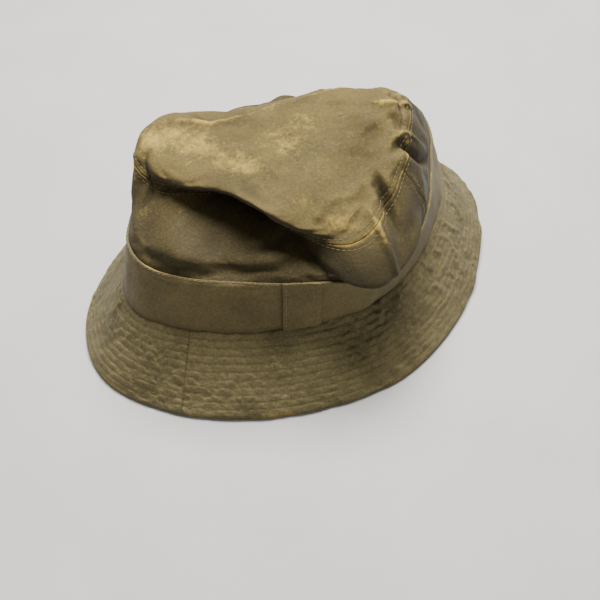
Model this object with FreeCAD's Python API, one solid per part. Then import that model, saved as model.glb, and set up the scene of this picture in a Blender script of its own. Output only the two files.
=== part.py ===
"""Bucket hat of waxed cotton, lying on a table with its crown pushed in.

Every sewn piece is a closed solid of its own. The cloth layers lie face to
face: each layer's inner skin is the next layer's outer skin.

Frame: +X to the back of the hat, +Y to the wearer's right, +Z up. The origin
is under the middle of the hat, on the table. Lengths are in millimetres and
angles in degrees, counted about +Z from the back of the hat.
"""
import FreeCAD, Part
import math
import os

Vector = FreeCAD.Vector

# ---------------------------------------------------------------- head opening
HEAD_LENGTH = 232.5        # front to back, along the head seam
HEAD_WIDTH = 165.0         # side to side: the hat is squeezed narrower than a head
HEAD_POINTEDNESS = 1.55    # power of the oval: 2 is an ellipse, less draws out its two ends

# ---------------------------------------------------------------- brim
BRIM_WIDTH = 50.0          # from the head seam to the edge, along the cloth
BRIM_SLOPE = {"back": 46.5, "right": 55.0, "front": 49.5, "left": 49.5}
BRIM_SAG = 1.5             # how far mid-width hangs below a straight line
BACK_LIFT = 8.0            # the edge stands off the table at the back
BACK_LIFT_SPREAD = 38.0    # degrees either way
BRIM_SEAM = 208.0          # one radial seam here and one opposite it

# ---------------------------------------------------------------- crown
BAND_HEIGHT = 36.0         # hatband, along the cloth
CROWN_ABOVE_BAND = 43.0    # from the band's top to the highest fold
CROWN_SEAM = 297.0         # one upright seam here and one opposite it
TAB_MIDDLE = 247.0         # the keeper that covers the hatband's join
TAB_WIDTH = 22.0
LABEL_WIDTH = 24.0
LABEL_HEIGHT = 20.0
SWEATBAND_HEIGHT = 32.0

# ---------------------------------------------------------------- cloth
CLOTH = 0.9                # waxed cotton, one ply
BRIM_CLOTH = 1.2           # one brim ply, measured upright through its slope
INTERLINING = 1.0          # stiffener inside the brim, measured upright
INTERLINING_SETBACK = 2.5  # it stops short of the brim's edge
LINING = 0.4
SWEATBAND = 0.9
LABEL = 0.3
JOIN_GAP = 0.6             # between the two ends of a strip at its join

# ---------------------------------------------------------------- stitching
THREAD_WIDTH = 0.5
THREAD_PROUD = 0.3
BRIM_ROWS = 10             # concentric rows of stitching on the brim
BRIM_EDGE_MARGIN = 4.0     # from the edge to the outermost row
BRIM_HEAD_MARGIN = 5.0     # from the head seam to the innermost row
BAND_STITCH_MARGIN = 2.0
TAB_STITCH_MARGIN = 2.0
SEAM_STITCH_MARGIN = 3.0

# The pushed-in crown. Each ring lists, at the angles where it bends, how far
# out it runs as a share of the head seam, and how far up as a share of
# CROWN_ABOVE_BAND, counted from the band's level.
WALL_LOW = [
    (0, 0.83, 0.35), (45, 0.85, 0.26), (90, 0.88, 0.14), (115, 0.93, 0.16), (135, 0.94, 0.21),
    (150, 0.93, 0.21), (163, 0.89, 0.16), (180, 0.86, 0.12), (208, 0.81, 0.07), (227, 0.80, 0.07),
    (247, 0.89, 0.05), (255, 0.95, 0.05), (265, 1.08, -0.07), (275, 1.15, -0.12), (285, 1.09, 0.07),
    (298, 0.96, 0.30), (316, 0.87, 0.35), (330, 0.84, 0.37),
]
WALL_HIGH = [
    (0, 0.75, 0.58), (45, 0.76, 0.37), (90, 0.81, 0.23), (115, 0.93, 0.37), (135, 0.95, 0.40),
    (150, 0.92, 0.37), (163, 0.83, 0.33), (180, 0.70, 0.30), (208, 0.59, 0.26), (222, 0.59, 0.23),
    (240, 0.76, 0.21), (254, 0.95, 0.21), (265, 1.03, 0.21), (275, 1.06, 0.21), (287, 0.95, 0.37),
    (298, 0.88, 0.49), (316, 0.81, 0.58), (330, 0.79, 0.65),
]
TIP_SEAM = [
    (0, 0.66, 0.81), (20, 0.66, 0.70), (45, 0.66, 0.51), (70, 0.68, 0.33), (90, 0.72, 0.23),
    (105, 0.82, 0.35), (120, 0.97, 0.53), (134, 0.97, 0.51), (150, 0.86, 0.49), (163, 0.72, 0.42),
    (175, 0.57, 0.40), (190, 0.44, 0.37), (205, 0.40, 0.37), (220, 0.44, 0.35), (232, 0.55, 0.33),
    (243, 0.74, 0.33), (254, 0.89, 0.35), (262, 0.88, 0.37), (270, 0.87, 0.42), (278, 0.82, 0.49),
    (291, 0.79, 0.60), (298, 0.78, 0.70), (315, 0.74, 0.84), (329, 0.72, 0.95), (345, 0.69, 0.91),
]
TIP_FOLD = [
    (0, 0.60, 0.88), (20, 0.60, 0.79), (45, 0.59, 0.63), (70, 0.60, 0.49), (90, 0.64, 0.44),
    (105, 0.74, 0.51), (120, 0.90, 0.65), (134, 0.90, 0.65), (150, 0.81, 0.65), (163, 0.74, 0.63),
    (175, 0.66, 0.65), (190, 0.62, 0.67), (205, 0.60, 0.70), (220, 0.63, 0.70), (232, 0.71, 0.63),
    (243, 0.81, 0.51), (254, 0.86, 0.44), (262, 0.83, 0.44), (270, 0.82, 0.49), (278, 0.77, 0.56),
    (291, 0.74, 0.67), (298, 0.73, 0.74), (315, 0.69, 0.91), (329, 0.67, 1.02), (345, 0.63, 0.98),
]
TIP_MIDDLE = [
    (0, 0.45, 0.91), (45, 0.42, 0.72), (70, 0.42, 0.63), (90, 0.46, 0.58), (115, 0.62, 0.60),
    (135, 0.66, 0.70), (160, 0.54, 0.77), (190, 0.40, 0.81), (220, 0.42, 0.84), (250, 0.58, 0.63),
    (270, 0.60, 0.63), (290, 0.55, 0.74), (315, 0.52, 0.91), (330, 0.50, 1.00),
]
TIP_INNER = [
    (0, 0.24, 0.88), (90, 0.24, 0.72), (135, 0.30, 0.70), (180, 0.24, 0.81), (225, 0.24, 0.84),
    (270, 0.30, 0.72), (315, 0.26, 0.86),
]
TIP_CENTRE_RISE = 0.79
# The band leans in, stands lower where the crown has slumped over it, and
# bulges out there: (angle, share of the head seam, share of BAND_HEIGHT).
BAND_TOP = [
    (0, 0.90, 1.03), (45, 0.90, 0.98), (90, 0.92, 0.95), (135, 0.93, 0.96), (165, 0.92, 0.97),
    (180, 0.91, 0.97), (211, 0.92, 0.98), (230, 0.92, 0.98), (241, 0.95, 0.98), (253, 0.96, 0.96),
    (263, 1.00, 0.85), (275, 1.06, 0.73), (283, 1.07, 0.90), (290, 1.03, 1.06), (299, 0.99, 1.08),
    (316, 0.92, 1.06), (330, 0.88, 1.04),
]

# ---------------------------------------------------------------- skins
STATIONS = 24              # control points round the hat
STEP = 360.0 / STATIONS
SKIN_DEGREE = 3
# A cubic skin runs a little inside its ring of control points, by this factor.
RING_GAIN = 3.0 / (2.0 + math.cos(math.radians(STEP)))
MAX_MITRE = 1.5            # at a sharp fold a ply is at most this much thicker
BRIM_STACK = 2 * BRIM_CLOTH + INTERLINING


# ---------------------------------------------------------------- plain maths
def read_round(table, angle, column):
    """The table's column at an angle, by a smooth curve through its rows and back round."""
    angle = angle % 360.0
    count = len(table)
    before = count - 1 if angle < table[0][0] else max(i for i in range(count) if table[i][0] <= angle)
    if angle < table[0][0]:
        before = -1

    def row(index):
        turn, place = divmod(index, count)
        return table[place][0] + 360.0 * turn, table[place][column]

    (x0, y0), (x1, y1), (x2, y2), (x3, y3) = [row(before + i) for i in (-1, 0, 1, 2)]
    span = x2 - x1
    t = (angle - x1) / span
    leave = (y2 - y0) / (x2 - x0) * span
    arrive = (y3 - y1) / (x3 - x1) * span
    return (
        (2 * t**3 - 3 * t**2 + 1) * y1 + (t**3 - 2 * t**2 + t) * leave
        + (3 * t**2 - 2 * t**3) * y2 + (t**3 - t**2) * arrive
    )


def around(values, angle):
    """Blend four values, given at the back, right, front and left, to any angle."""
    back, right, front, left = (values[name] for name in ("back", "right", "front", "left"))
    mean = (back + right + front + left) / 4.0
    turn = math.radians(angle)
    first = (back - front) / 2.0 * math.cos(turn) + (right - left) / 2.0 * math.sin(turn)
    second = (back + front - right - left) / 4.0 * math.cos(2 * turn)
    return mean + first + second


def head_plan(angle, share=1.0):
    """A point of the head oval, or of the same oval drawn in by a share, seen from above."""
    turn = math.radians(angle)
    power = HEAD_POINTEDNESS
    reach = (abs(math.cos(turn)) ** power + abs(math.sin(turn)) ** power) ** (-1.0 / power)
    x = HEAD_LENGTH / 2.0 * math.cos(turn) * reach * share
    y = HEAD_WIDTH / 2.0 * math.sin(turn) * reach * share
    return Vector(x, y, 0)


def outward(angle):
    """The level direction square to the head oval."""
    nudge = STEP / 2.0
    along = head_plan(angle + nudge) - head_plan(angle - nudge)
    return Vector(along.y, -along.x, 0).normalize()


def edge_height(angle):
    """How high the top of the brim's edge stands over the table."""
    off_back = (angle + 180.0) % 360.0 - 180.0
    return BRIM_STACK + BACK_LIFT * math.exp(-((off_back / BACK_LIFT_SPREAD) ** 2))


def head_height(angle):
    """How high the head seam stands over the table."""
    return edge_height(angle) + BRIM_WIDTH * math.sin(math.radians(around(BRIM_SLOPE, angle)))


HEAD_LEVEL = sum(head_height(STEP * i) for i in range(STATIONS)) / STATIONS
BAND_LEVEL = HEAD_LEVEL + BAND_HEIGHT


# ---------------------------------------------------------------- control rings
def widened(point):
    """Move a control point out so that the cubic skin runs through the place meant."""
    return Vector(point.x * RING_GAIN, point.y * RING_GAIN, point.z)


def ring(place):
    """One closed ring of control points: place(angle) gives each."""
    return [widened(place(STEP * i)) for i in range(STATIONS)]


def head_seam_point(angle):
    point = head_plan(angle)
    point.z = head_height(angle)
    return point


def band_top_point(angle):
    point = head_plan(angle, read_round(BAND_TOP, angle, 1))
    point.z = head_height(angle) + BAND_HEIGHT * read_round(BAND_TOP, angle, 2)
    return point


def band_point(angle, share):
    low = head_seam_point(angle)
    return low + (band_top_point(angle) - low) * share


def crown_point(table, angle):
    point = head_plan(angle, read_round(table, angle, 1))
    point.z = BAND_LEVEL + CROWN_ABOVE_BAND * read_round(table, angle, 2)
    return point


def brim_point(angle, share):
    slope = math.radians(around(BRIM_SLOPE, angle))
    point = head_seam_point(angle) + outward(angle) * (BRIM_WIDTH * math.cos(slope) * share)
    sag = BRIM_SAG * 4.0 * share * (1.0 - share)
    point.z -= BRIM_WIDTH * math.sin(slope) * share + sag
    return point


WALL_RINGS = [
    ring(head_seam_point),
    ring(lambda angle: band_point(angle, 1 / 3)),
    ring(lambda angle: band_point(angle, 2 / 3)),
    ring(band_top_point),
    ring(lambda angle: crown_point(WALL_LOW, angle)),
    ring(lambda angle: crown_point(WALL_HIGH, angle)),
    ring(lambda angle: crown_point(TIP_SEAM, angle)),
]
TIP_CENTRE = Vector(0, 0, BAND_LEVEL + CROWN_ABOVE_BAND * TIP_CENTRE_RISE)
TIP_RINGS = [
    ring(lambda angle: crown_point(TIP_FOLD, angle)),
    ring(lambda angle: crown_point(TIP_MIDDLE, angle)),
    ring(lambda angle: crown_point(TIP_INNER, angle)),
    [TIP_CENTRE] * STATIONS,
]
CROWN_RINGS = WALL_RINGS + TIP_RINGS
SEAM_RING = len(WALL_RINGS) - 1
LAST_RING = len(CROWN_RINGS) - 1


def crown_normal(level, station):
    """Outward direction of the crown at a control point, longer at a sharp fold."""
    if level == LAST_RING:
        return Vector(0, 0, 1)
    row = CROWN_RINGS[level]
    point = row[station]
    across = row[(station + 1) % STATIONS] - row[station - 1]
    sides = []
    if level > 0:
        sides.append(across.cross(point - CROWN_RINGS[level - 1][station]).normalize())
    sides.append(across.cross(CROWN_RINGS[level + 1][station] - point).normalize())
    if len(sides) == 1:
        flat = sides[0]
        return Vector(flat.x, flat.y, 0).normalize()
    middle = (sides[0] + sides[1]).normalize()
    return middle * min(MAX_MITRE, 1.0 / max(middle.dot(sides[0]), 1.0 / MAX_MITRE))


NORMALS = [[crown_normal(k, i) for i in range(STATIONS)] for k in range(len(CROWN_RINGS))]


def crown_rings(depth, first, last):
    """Control rings of the crown from level first to last, moved in by depth."""
    return [
        [CROWN_RINGS[k][i] - NORMALS[k][i] * depth for i in range(STATIONS)]
        for k in range(first, last + 1)
    ]


# ---------------------------------------------------------------- skins and solids
def skin(rings):
    """A smooth skin through closed control rings: u counts stations, v runs from ring to ring."""
    degree = min(SKIN_DEGREE, len(rings) - 1)
    # The first knot of a closed skin lies at its second control point.
    poles = [[row[i - 1] for row in rings] for i in range(STATIONS)]
    spans = len(rings) - degree
    v_mults = [degree + 1] + [1] * (spans - 1) + [degree + 1]
    v_knots = [i / spans for i in range(spans + 1)]
    u_mults = [1] * (STATIONS + 1)
    u_knots = list(range(STATIONS + 1))
    surface = Part.BSplineSurface()
    surface.buildFromPolesMultsKnots(
        poles, u_mults, v_mults, u_knots, v_knots, True, False, SKIN_DEGREE, degree
    )
    return surface


def patch(surface, angles, span=(0.0, 1.0)):
    """The part of a skin between two angles and over a span of v."""
    piece = surface.copy()
    piece.segment(angles[0] / STEP, angles[1] / STEP, *span)
    return piece


def rim(piece, end):
    """A patch's edge at the start (0) or the end (1) of v."""
    return piece.vIso(piece.bounds()[2 + end]).toShape()


def flank(piece, end):
    """A patch's edge at its first (0) or last (1) angle."""
    return piece.uIso(piece.bounds()[end]).toShape()


def ruled(edge, other):
    """A face of straight lines between two edges that run the same way."""
    same_way = 1
    return Part.makeRuledSurface(edge, other, same_way)


def close(faces):
    """Sew faces into one solid."""
    shell = Part.makeShell(faces)
    shell.sewShape()
    solid = Part.makeSolid(shell)
    if solid.Volume < 0:
        solid.reverse()
    return solid


def ply(outer, inner, angles, start=0.0, end=1.0):
    """A panel of cloth between an outer and an inner skin, over a range of angles.

    Each is a list of skins that follow one another in v, from start on the first to end on the last.
    """
    last = len(outer) - 1
    spans = [(start if k == 0 else 0.0, end if k == last else 1.0) for k in range(last + 1)]
    above = [patch(surface, angles, span) for surface, span in zip(outer, spans)]
    below = [patch(surface, angles, span) for surface, span in zip(inner, spans)]
    faces = [piece.toShape() for piece in above + below]
    for upper, lower in zip(above, below):
        for side in (0, 1):
            faces.append(ruled(flank(upper, side), flank(lower, side)))
    faces.append(ruled(rim(above[0], 0), rim(below[0], 0)))
    faces.append(ruled(rim(above[last], 1), rim(below[last], 1)))
    return close(faces)


def disc(outer, inner):
    """A round ply that closes over the middle, from two halves of each skin."""
    faces = []
    for angles in ((0.0, 180.0), (180.0, 360.0)):
        pieces = [patch(surface, angles) for surface in (outer, inner)]
        faces += [piece.toShape() for piece in pieces]
        faces.append(ruled(*[rim(piece, 0) for piece in pieces]))
    return close(faces)


def halves(seam):
    """The angles of the two halves of a piece that is cut at a seam and opposite it."""
    return (seam - 180.0, seam), (seam, seam + 180.0)


def degrees_for(length, angle):
    """The angle that a length takes up along the head oval."""
    one_degree = (head_plan(angle + 0.5) - head_plan(angle - 0.5)).Length
    return length / one_degree


def strip_angles(join):
    """The angles of a strip that runs once round and stops just short of its own start."""
    gap = degrees_for(JOIN_GAP / 2.0, join)
    return (join + gap, join + 360.0 - gap)


def span_angles(middle, width):
    half = degrees_for(width / 2.0, middle)
    return (middle - half, middle + half)


def v_along(surface, length, angle=180.0):
    """The skin's v at a distance up from its first ring, measured at the front."""
    return surface.uIso(angle / STEP).parameterAtDistance(length, 0.0)


# ---------------------------------------------------------------- the skins of this hat
def wall_skin(depth):
    return skin(crown_rings(depth, 0, SEAM_RING))


def tip_skin(depth):
    return skin(crown_rings(depth, SEAM_RING, LAST_RING))


def lowered(rings, drop):
    return [[Vector(p.x, p.y, p.z - drop) for p in row] for row in rings]


BRIM_RINGS = [ring(lambda angle, share=i / 3: brim_point(angle, share)) for i in range(4)]


def brim_skins(drop):
    """The seam allowance under the crown's edge and then the slope, both lowered by drop."""
    allowance = [crown_rings(CLOTH, 0, 0)[0], BRIM_RINGS[0]]
    return [skin(lowered(allowance, drop)), skin(lowered(BRIM_RINGS, drop))]


# Depths of the layers, from the outside in.
TAB_OUT = -2 * CLOTH
BAND_OUT = -CLOTH
CROWN_OUT = 0.0
LINING_OUT = CLOTH
SWEATBAND_OUT = LINING_OUT + LINING
LABEL_OUT = SWEATBAND_OUT + SWEATBAND
# The wall's fourth ring of seven is the band's top, half way up the skin's v.
BAND_TOP_V = 0.5


# ---------------------------------------------------------------- crown
def make_crown_tip():
    return disc(tip_skin(CROWN_OUT), tip_skin(LINING_OUT))


def make_crown_side(angles):
    return ply([wall_skin(CROWN_OUT)], [wall_skin(LINING_OUT)], angles)


def make_hatband():
    angles = strip_angles(TAB_MIDDLE)
    return ply([wall_skin(BAND_OUT)], [wall_skin(CROWN_OUT)], angles, end=BAND_TOP_V)


def make_hatband_tab():
    angles = span_angles(TAB_MIDDLE, TAB_WIDTH)
    return ply([wall_skin(TAB_OUT)], [wall_skin(BAND_OUT)], angles, end=BAND_TOP_V)


# ---------------------------------------------------------------- brim
def make_brim_upper(angles):
    return ply(brim_skins(0.0), brim_skins(BRIM_CLOTH), angles)


def make_brim_interlining():
    end = 1.0 - INTERLINING_SETBACK / BRIM_WIDTH
    top = brim_skins(BRIM_CLOTH)
    bottom = brim_skins(BRIM_CLOTH + INTERLINING)
    return ply(top, bottom, strip_angles(BRIM_SEAM + 90.0), end=end)


def make_brim_lower(angles):
    return ply(brim_skins(BRIM_CLOTH + INTERLINING), brim_skins(BRIM_STACK), angles)


# ---------------------------------------------------------------- inside the crown
def make_lining_tip():
    return disc(tip_skin(LINING_OUT), tip_skin(SWEATBAND_OUT))


def make_lining_side(angles):
    return ply([wall_skin(LINING_OUT)], [wall_skin(SWEATBAND_OUT)], angles)


def make_sweatband():
    outer = wall_skin(SWEATBAND_OUT)
    top = v_along(outer, SWEATBAND_HEIGHT)
    return ply([outer], [wall_skin(LABEL_OUT)], strip_angles(0.0), end=top)


def make_size_label():
    outer = wall_skin(LABEL_OUT)
    low = v_along(outer, (SWEATBAND_HEIGHT - LABEL_HEIGHT) / 2.0)
    high = v_along(outer, (SWEATBAND_HEIGHT + LABEL_HEIGHT) / 2.0)
    angles = span_angles(0.0, LABEL_WIDTH)
    return ply([outer], [wall_skin(LABEL_OUT + LABEL)], angles, start=low, end=high)


# ---------------------------------------------------------------- stitching
def thread(cloth, proud, angles, low, high):
    """One row of thread standing on a cloth's skin."""
    return ply([proud], [cloth], angles, start=low, end=high)


def make_brim_topstitching():
    cloth = brim_skins(0.0)[1]
    proud = brim_skins(-THREAD_PROUD)[1]
    angles = strip_angles(BRIM_SEAM)
    first = BRIM_HEAD_MARGIN / BRIM_WIDTH
    last = 1.0 - BRIM_EDGE_MARGIN / BRIM_WIDTH
    half = THREAD_WIDTH / 2.0 / BRIM_WIDTH
    rows = [first + (last - first) * i / (BRIM_ROWS - 1) for i in range(BRIM_ROWS)]
    return [thread(cloth, proud, angles, v - half, v + half) for v in rows]


def wall_row(depth, side, angles, length):
    """A row round the wall on the ply at a depth; side is +1 inside the hat and -1 outside."""
    cloth = wall_skin(depth)
    proud = wall_skin(depth + side * THREAD_PROUD)
    low = v_along(cloth, length - THREAD_WIDTH / 2.0)
    high = v_along(cloth, length + THREAD_WIDTH / 2.0)
    return thread(cloth, proud, angles, low, high)


def make_hatband_stitching():
    top = wall_skin(BAND_OUT).uIso(180.0 / STEP).length(0.0, BAND_TOP_V)
    tab = span_angles(TAB_MIDDLE, TAB_WIDTH + JOIN_GAP)
    angles = (tab[1], tab[0] + 360.0)
    return [wall_row(BAND_OUT, -1, angles, top - BAND_STITCH_MARGIN)]


def make_sweatband_stitching():
    angles = strip_angles(180.0)
    return [wall_row(LABEL_OUT, 1, angles, SWEATBAND_HEIGHT - BAND_STITCH_MARGIN)]


def upright_row(depth, angle, low, high):
    """A row up the wall, at an angle, from one v to another."""
    cloth = wall_skin(depth)
    proud = wall_skin(depth - THREAD_PROUD)
    return thread(cloth, proud, span_angles(angle, THREAD_WIDTH), low, high)


def make_tab_stitching():
    left, right = span_angles(TAB_MIDDLE, TAB_WIDTH - 2 * TAB_STITCH_MARGIN)
    margin = BAND_TOP_V * BAND_STITCH_MARGIN / BAND_HEIGHT
    return [upright_row(TAB_OUT, angle, margin, BAND_TOP_V - margin) for angle in (left, right)]


def make_crown_seam_stitching():
    """Two rows beside each upright seam, from the hatband to just short of the tip's seam."""
    rows = []
    for seam in (CROWN_SEAM, CROWN_SEAM - 180.0):
        for angle in span_angles(seam, 2 * SEAM_STITCH_MARGIN):
            low = BAND_TOP_V + THREAD_WIDTH / BAND_HEIGHT
            high = 1.0 - 2 * SEAM_STITCH_MARGIN / (BAND_HEIGHT + CROWN_ABOVE_BAND)
            rows.append(upright_row(CROWN_OUT, angle, low, high))
    return rows


def make_tip_seam_stitching():
    """One row on the wall just below the tip's seam and one on the tip just inside it."""
    rows = []
    angles = strip_angles(CROWN_SEAM + 90.0)
    for surface_at, toward in ((wall_skin, -1), (tip_skin, 1)):
        cloth = surface_at(CROWN_OUT)
        proud = surface_at(CROWN_OUT - THREAD_PROUD)
        length = cloth.uIso(0.0).length()
        seam_v = 1.0 if toward < 0 else 0.0
        middle = seam_v + toward * SEAM_STITCH_MARGIN / length
        half = THREAD_WIDTH / 2.0 / length
        rows.append(thread(cloth, proud, angles, middle - half, middle + half))
    return rows


# ---------------------------------------------------------------- the hat
def make_hat():
    crown_front, crown_back = halves(CROWN_SEAM)
    brim_right, brim_left = halves(BRIM_SEAM)
    return {
        "crown_tip": [make_crown_tip()],
        "crown_side_front": [make_crown_side(crown_front)],
        "crown_side_back": [make_crown_side(crown_back)],
        "hatband": [make_hatband()],
        "hatband_tab": [make_hatband_tab()],
        "brim_upper_right": [make_brim_upper(brim_right)],
        "brim_upper_left": [make_brim_upper(brim_left)],
        "brim_interlining": [make_brim_interlining()],
        "brim_lower_right": [make_brim_lower(brim_right)],
        "brim_lower_left": [make_brim_lower(brim_left)],
        "sweatband": [make_sweatband()],
        "size_label": [make_size_label()],
        "lining_tip": [make_lining_tip()],
        "lining_side_front": [make_lining_side(crown_front)],
        "lining_side_back": [make_lining_side(crown_back)],
        "brim_topstitching": make_brim_topstitching(),
        "hatband_stitching": make_hatband_stitching(),
        "tab_stitching": make_tab_stitching(),
        "crown_seam_stitching": make_crown_seam_stitching(),
        "tip_seam_stitching": make_tip_seam_stitching(),
        "sweatband_stitching": make_sweatband_stitching(),
    }


def main():
    os.makedirs("parts", exist_ok=True)
    hat = make_hat()
    brim = Part.makeCompound(hat["brim_upper_right"] + hat["brim_upper_left"])
    box = brim.optimalBoundingBox(False, False)
    to_origin = Vector(-(box.XMin + box.XMax) / 2.0, -(box.YMin + box.YMax) / 2.0, 0)
    for name, solids in hat.items():
        shape = solids[0] if len(solids) == 1 else Part.makeCompound(solids)
        shape.translate(to_origin)
        shape.exportStep("parts/" + name + ".step")
        print(f"{name}: {len(solids)} solid(s), {shape.Volume:.0f} mm3, valid {shape.isValid()}")


main()
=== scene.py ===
"""Bucket hat of waxed cotton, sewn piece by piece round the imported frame.

Angles are degrees, counted about +Z from the back of the hat. A level runs from 0 at the
head seam to 1 at the tip's seam and 2 at the middle of the tip, and on the brim from 0 at
the head seam to 1 at the edge. Every length is in metres.
"""
import functools
import math

import bpy
import mathutils
import numpy as np
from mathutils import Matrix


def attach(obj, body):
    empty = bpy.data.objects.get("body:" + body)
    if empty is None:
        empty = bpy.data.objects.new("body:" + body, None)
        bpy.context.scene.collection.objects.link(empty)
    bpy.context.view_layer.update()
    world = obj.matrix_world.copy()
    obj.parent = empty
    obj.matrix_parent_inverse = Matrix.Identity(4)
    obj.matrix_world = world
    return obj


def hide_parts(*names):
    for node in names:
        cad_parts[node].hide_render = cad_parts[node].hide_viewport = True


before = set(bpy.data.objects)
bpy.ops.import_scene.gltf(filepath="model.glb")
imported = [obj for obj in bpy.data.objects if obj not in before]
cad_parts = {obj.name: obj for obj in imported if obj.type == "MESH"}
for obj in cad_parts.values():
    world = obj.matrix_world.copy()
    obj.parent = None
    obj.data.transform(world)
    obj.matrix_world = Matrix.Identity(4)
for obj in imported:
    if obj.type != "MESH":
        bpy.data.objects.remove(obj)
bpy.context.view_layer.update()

bl_info = {
    "name": "Bucket Hat Maker",
    "version": (1, 0, 0),
    "blender": (4, 5, 0),
    "location": "View3D > Sidebar > Hat",
    "description": "Sews a waxed cotton bucket hat from its cloth, lining and thread",
    "category": "Object",
}

MM = 0.001
BODY = "root"


# ---------------------------------------------------------------- settings
def linear(code):
    """An sRGB colour such as "#8c7a50" as linear red, green and blue."""
    channels = [int(code[i:i + 2], 16) / 255.0 for i in (1, 3, 5)]
    return tuple(c / 12.92 if c <= 0.04045 else ((c + 0.055) / 1.055) ** 2.4 for c in channels)


def length(name, description, millimetres):
    return bpy.props.FloatProperty(
        name=name, description=description, default=millimetres * MM, unit="LENGTH", precision=4)


def degrees(name, description, value):
    return bpy.props.FloatProperty(
        name=name, description=description, default=math.radians(value), unit="ROTATION")


def colour(name, description, code):
    return bpy.props.FloatVectorProperty(
        name=name, description=description, default=linear(code), subtype="COLOR", min=0.0, max=1.0)


class HatSizes(bpy.types.PropertyGroup):
    head_length: length("Head length", "Front to back, along the head seam", 232.5)
    head_width: length("Head width", "Side to side, along the head seam", 165.0)
    brim_width: length("Brim width", "From the head seam to the edge, along the cloth", 50.0)
    brim_sag: length("Brim sag", "How far the brim hangs below a straight line", 1.5)
    back_lift: length("Back lift", "How far the brim's edge stands off the table at the back", 8.0)
    band_height: length("Band height", "Height of the hatband, along the cloth", 36.0)
    crown_above_band: length("Crown", "From the hatband's top to the highest fold", 43.0)
    tab_width: length("Tab width", "Width of the keeper over the hatband's join", 22.0)
    sweatband_height: length("Sweatband height", "Height of the band inside the hat", 32.0)
    label_width: length("Label width", "Width of the blank label inside the back", 24.0)
    label_height: length("Label height", "Height of the blank label", 20.0)
    brim_seam: degrees("Brim seam", "Where one of the brim's two radial seams runs", 208.0)
    crown_seam: degrees("Crown seam", "Where one of the crown's two upright seams runs", 297.0)
    tab_middle: degrees("Tab place", "Where the keeper sits on the hatband", 247.0)


class HatCloth(bpy.types.PropertyGroup):
    crown_ply: length("Crown cloth", "Thickness of the crown's and band's cloth", 0.9)
    brim_ply: length("Brim cloth", "Thickness of each brim ply, measured upright", 1.2)
    interlining: length("Interlining", "Thickness of the brim's stiffener, measured upright", 1.0)
    interlining_setback: length("Setback", "How far the stiffener stops short of the edge", 2.5)
    lining: length("Lining", "Thickness of the lining", 0.4)
    sweatband: length("Sweatband cloth", "Thickness of the sweatband", 0.9)
    label: length("Label cloth", "Thickness of the label", 0.3)
    join_gap: length("Join gap", "Between the two ends of a strip", 0.6)


class HatStitches(bpy.types.PropertyGroup):
    rows: bpy.props.IntProperty(
        name="Brim rows", description="Rows of stitching round the brim", default=10, min=2, max=30)
    edge_margin: length("Edge margin", "From the brim's edge to its outermost row", 4.0)
    head_margin: length("Head margin", "From the head seam to the innermost row", 5.0)
    strip_margin: length("Strip margin", "From a strip's edge to its row of stitches", 2.0)
    seam_margin: length("Seam margin", "From a seam to the row beside it", 3.0)
    pitch: length("Stitch length", "From one stitch hole to the next", 3.0)
    thread: length("Thread", "Width of the thread", 0.5)
    proud: length("Thread height", "How far the thread stands above the cloth", 0.3)


class HatColours(bpy.types.PropertyGroup):
    wax: colour("Waxed cotton", "Ground colour of the crown", "#6b5c34")
    wax_brim: colour("Brim", "Ground colour of the brim, which sun and rain have greyed", "#786e4b")
    # Painted shade: the crown turns to this colour where its cloth faces aside and to its ground
    # colour where it faces up, which stands for light as well as for sun fading.
    wax_shade_and_shelter: colour("Sheltered wax", "Cloth that sun and rain haven't reached", "#3e361f")
    # Also the colour of painted shade, in the crown's hollows and creases, along the band's edges and
    # along the brim's stitching.
    wax_dark_and_shade: colour("Oily wax", "Where wax lies thick or dirt has gathered", "#372f1b")
    wax_worn: colour("Worn wax", "Where the wax has rubbed away", "#ab9049")
    band: colour("Hatband", "Ground colour of the band and tab", "#6b5f3e")
    lining: colour("Lining", "Colour of the lining", "#4d4a36")
    sweatband: colour("Sweatband", "Colour of the sweatband", "#3f3a2c")
    label: colour("Label", "Colour of the blank label", "#c9c2a8")
    interlining: colour("Interlining", "Colour of the brim's stiffener", "#cfc8b4")
    thread: colour("Thread", "Colour of the sewing thread", "#807146")


class HatStage(bpy.types.PropertyGroup):
    floor: colour("Floor", "Colour of the plain floor", "#c9c7c2")
    sky: colour("Surroundings", "Colour of the light from all round", "#e8e4dc")
    sky_strength: bpy.props.FloatProperty(
        name="Surroundings' strength", description="Strength of the light from all round",
        default=0.10)
    key_power: bpy.props.FloatProperty(
        name="Key light", description="Power of the lamp above and a little behind",
        default=50.0, unit="POWER")
    fill_power: bpy.props.FloatProperty(
        name="Fill light", description="Power of the lamp in front", default=4.2, unit="POWER")


def sizes():
    return bpy.context.scene.hat_sizes


def cloth():
    return bpy.context.scene.hat_cloth


def sewing():
    return bpy.context.scene.hat_stitches


def colours():
    return bpy.context.scene.hat_colours


# ---------------------------------------------------------------- the hat's shape
HEAD_POINTEDNESS = 1.55    # power of the head oval: 2 is an ellipse, less draws out its ends
BRIM_SLOPE = {"back": 46.5, "right": 55.0, "front": 49.5, "left": 49.5}
BACK_LIFT_SPREAD = 38.0
BAND_TOP_LEVEL = 0.5       # the band's top is half way up the wall's levels
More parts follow.
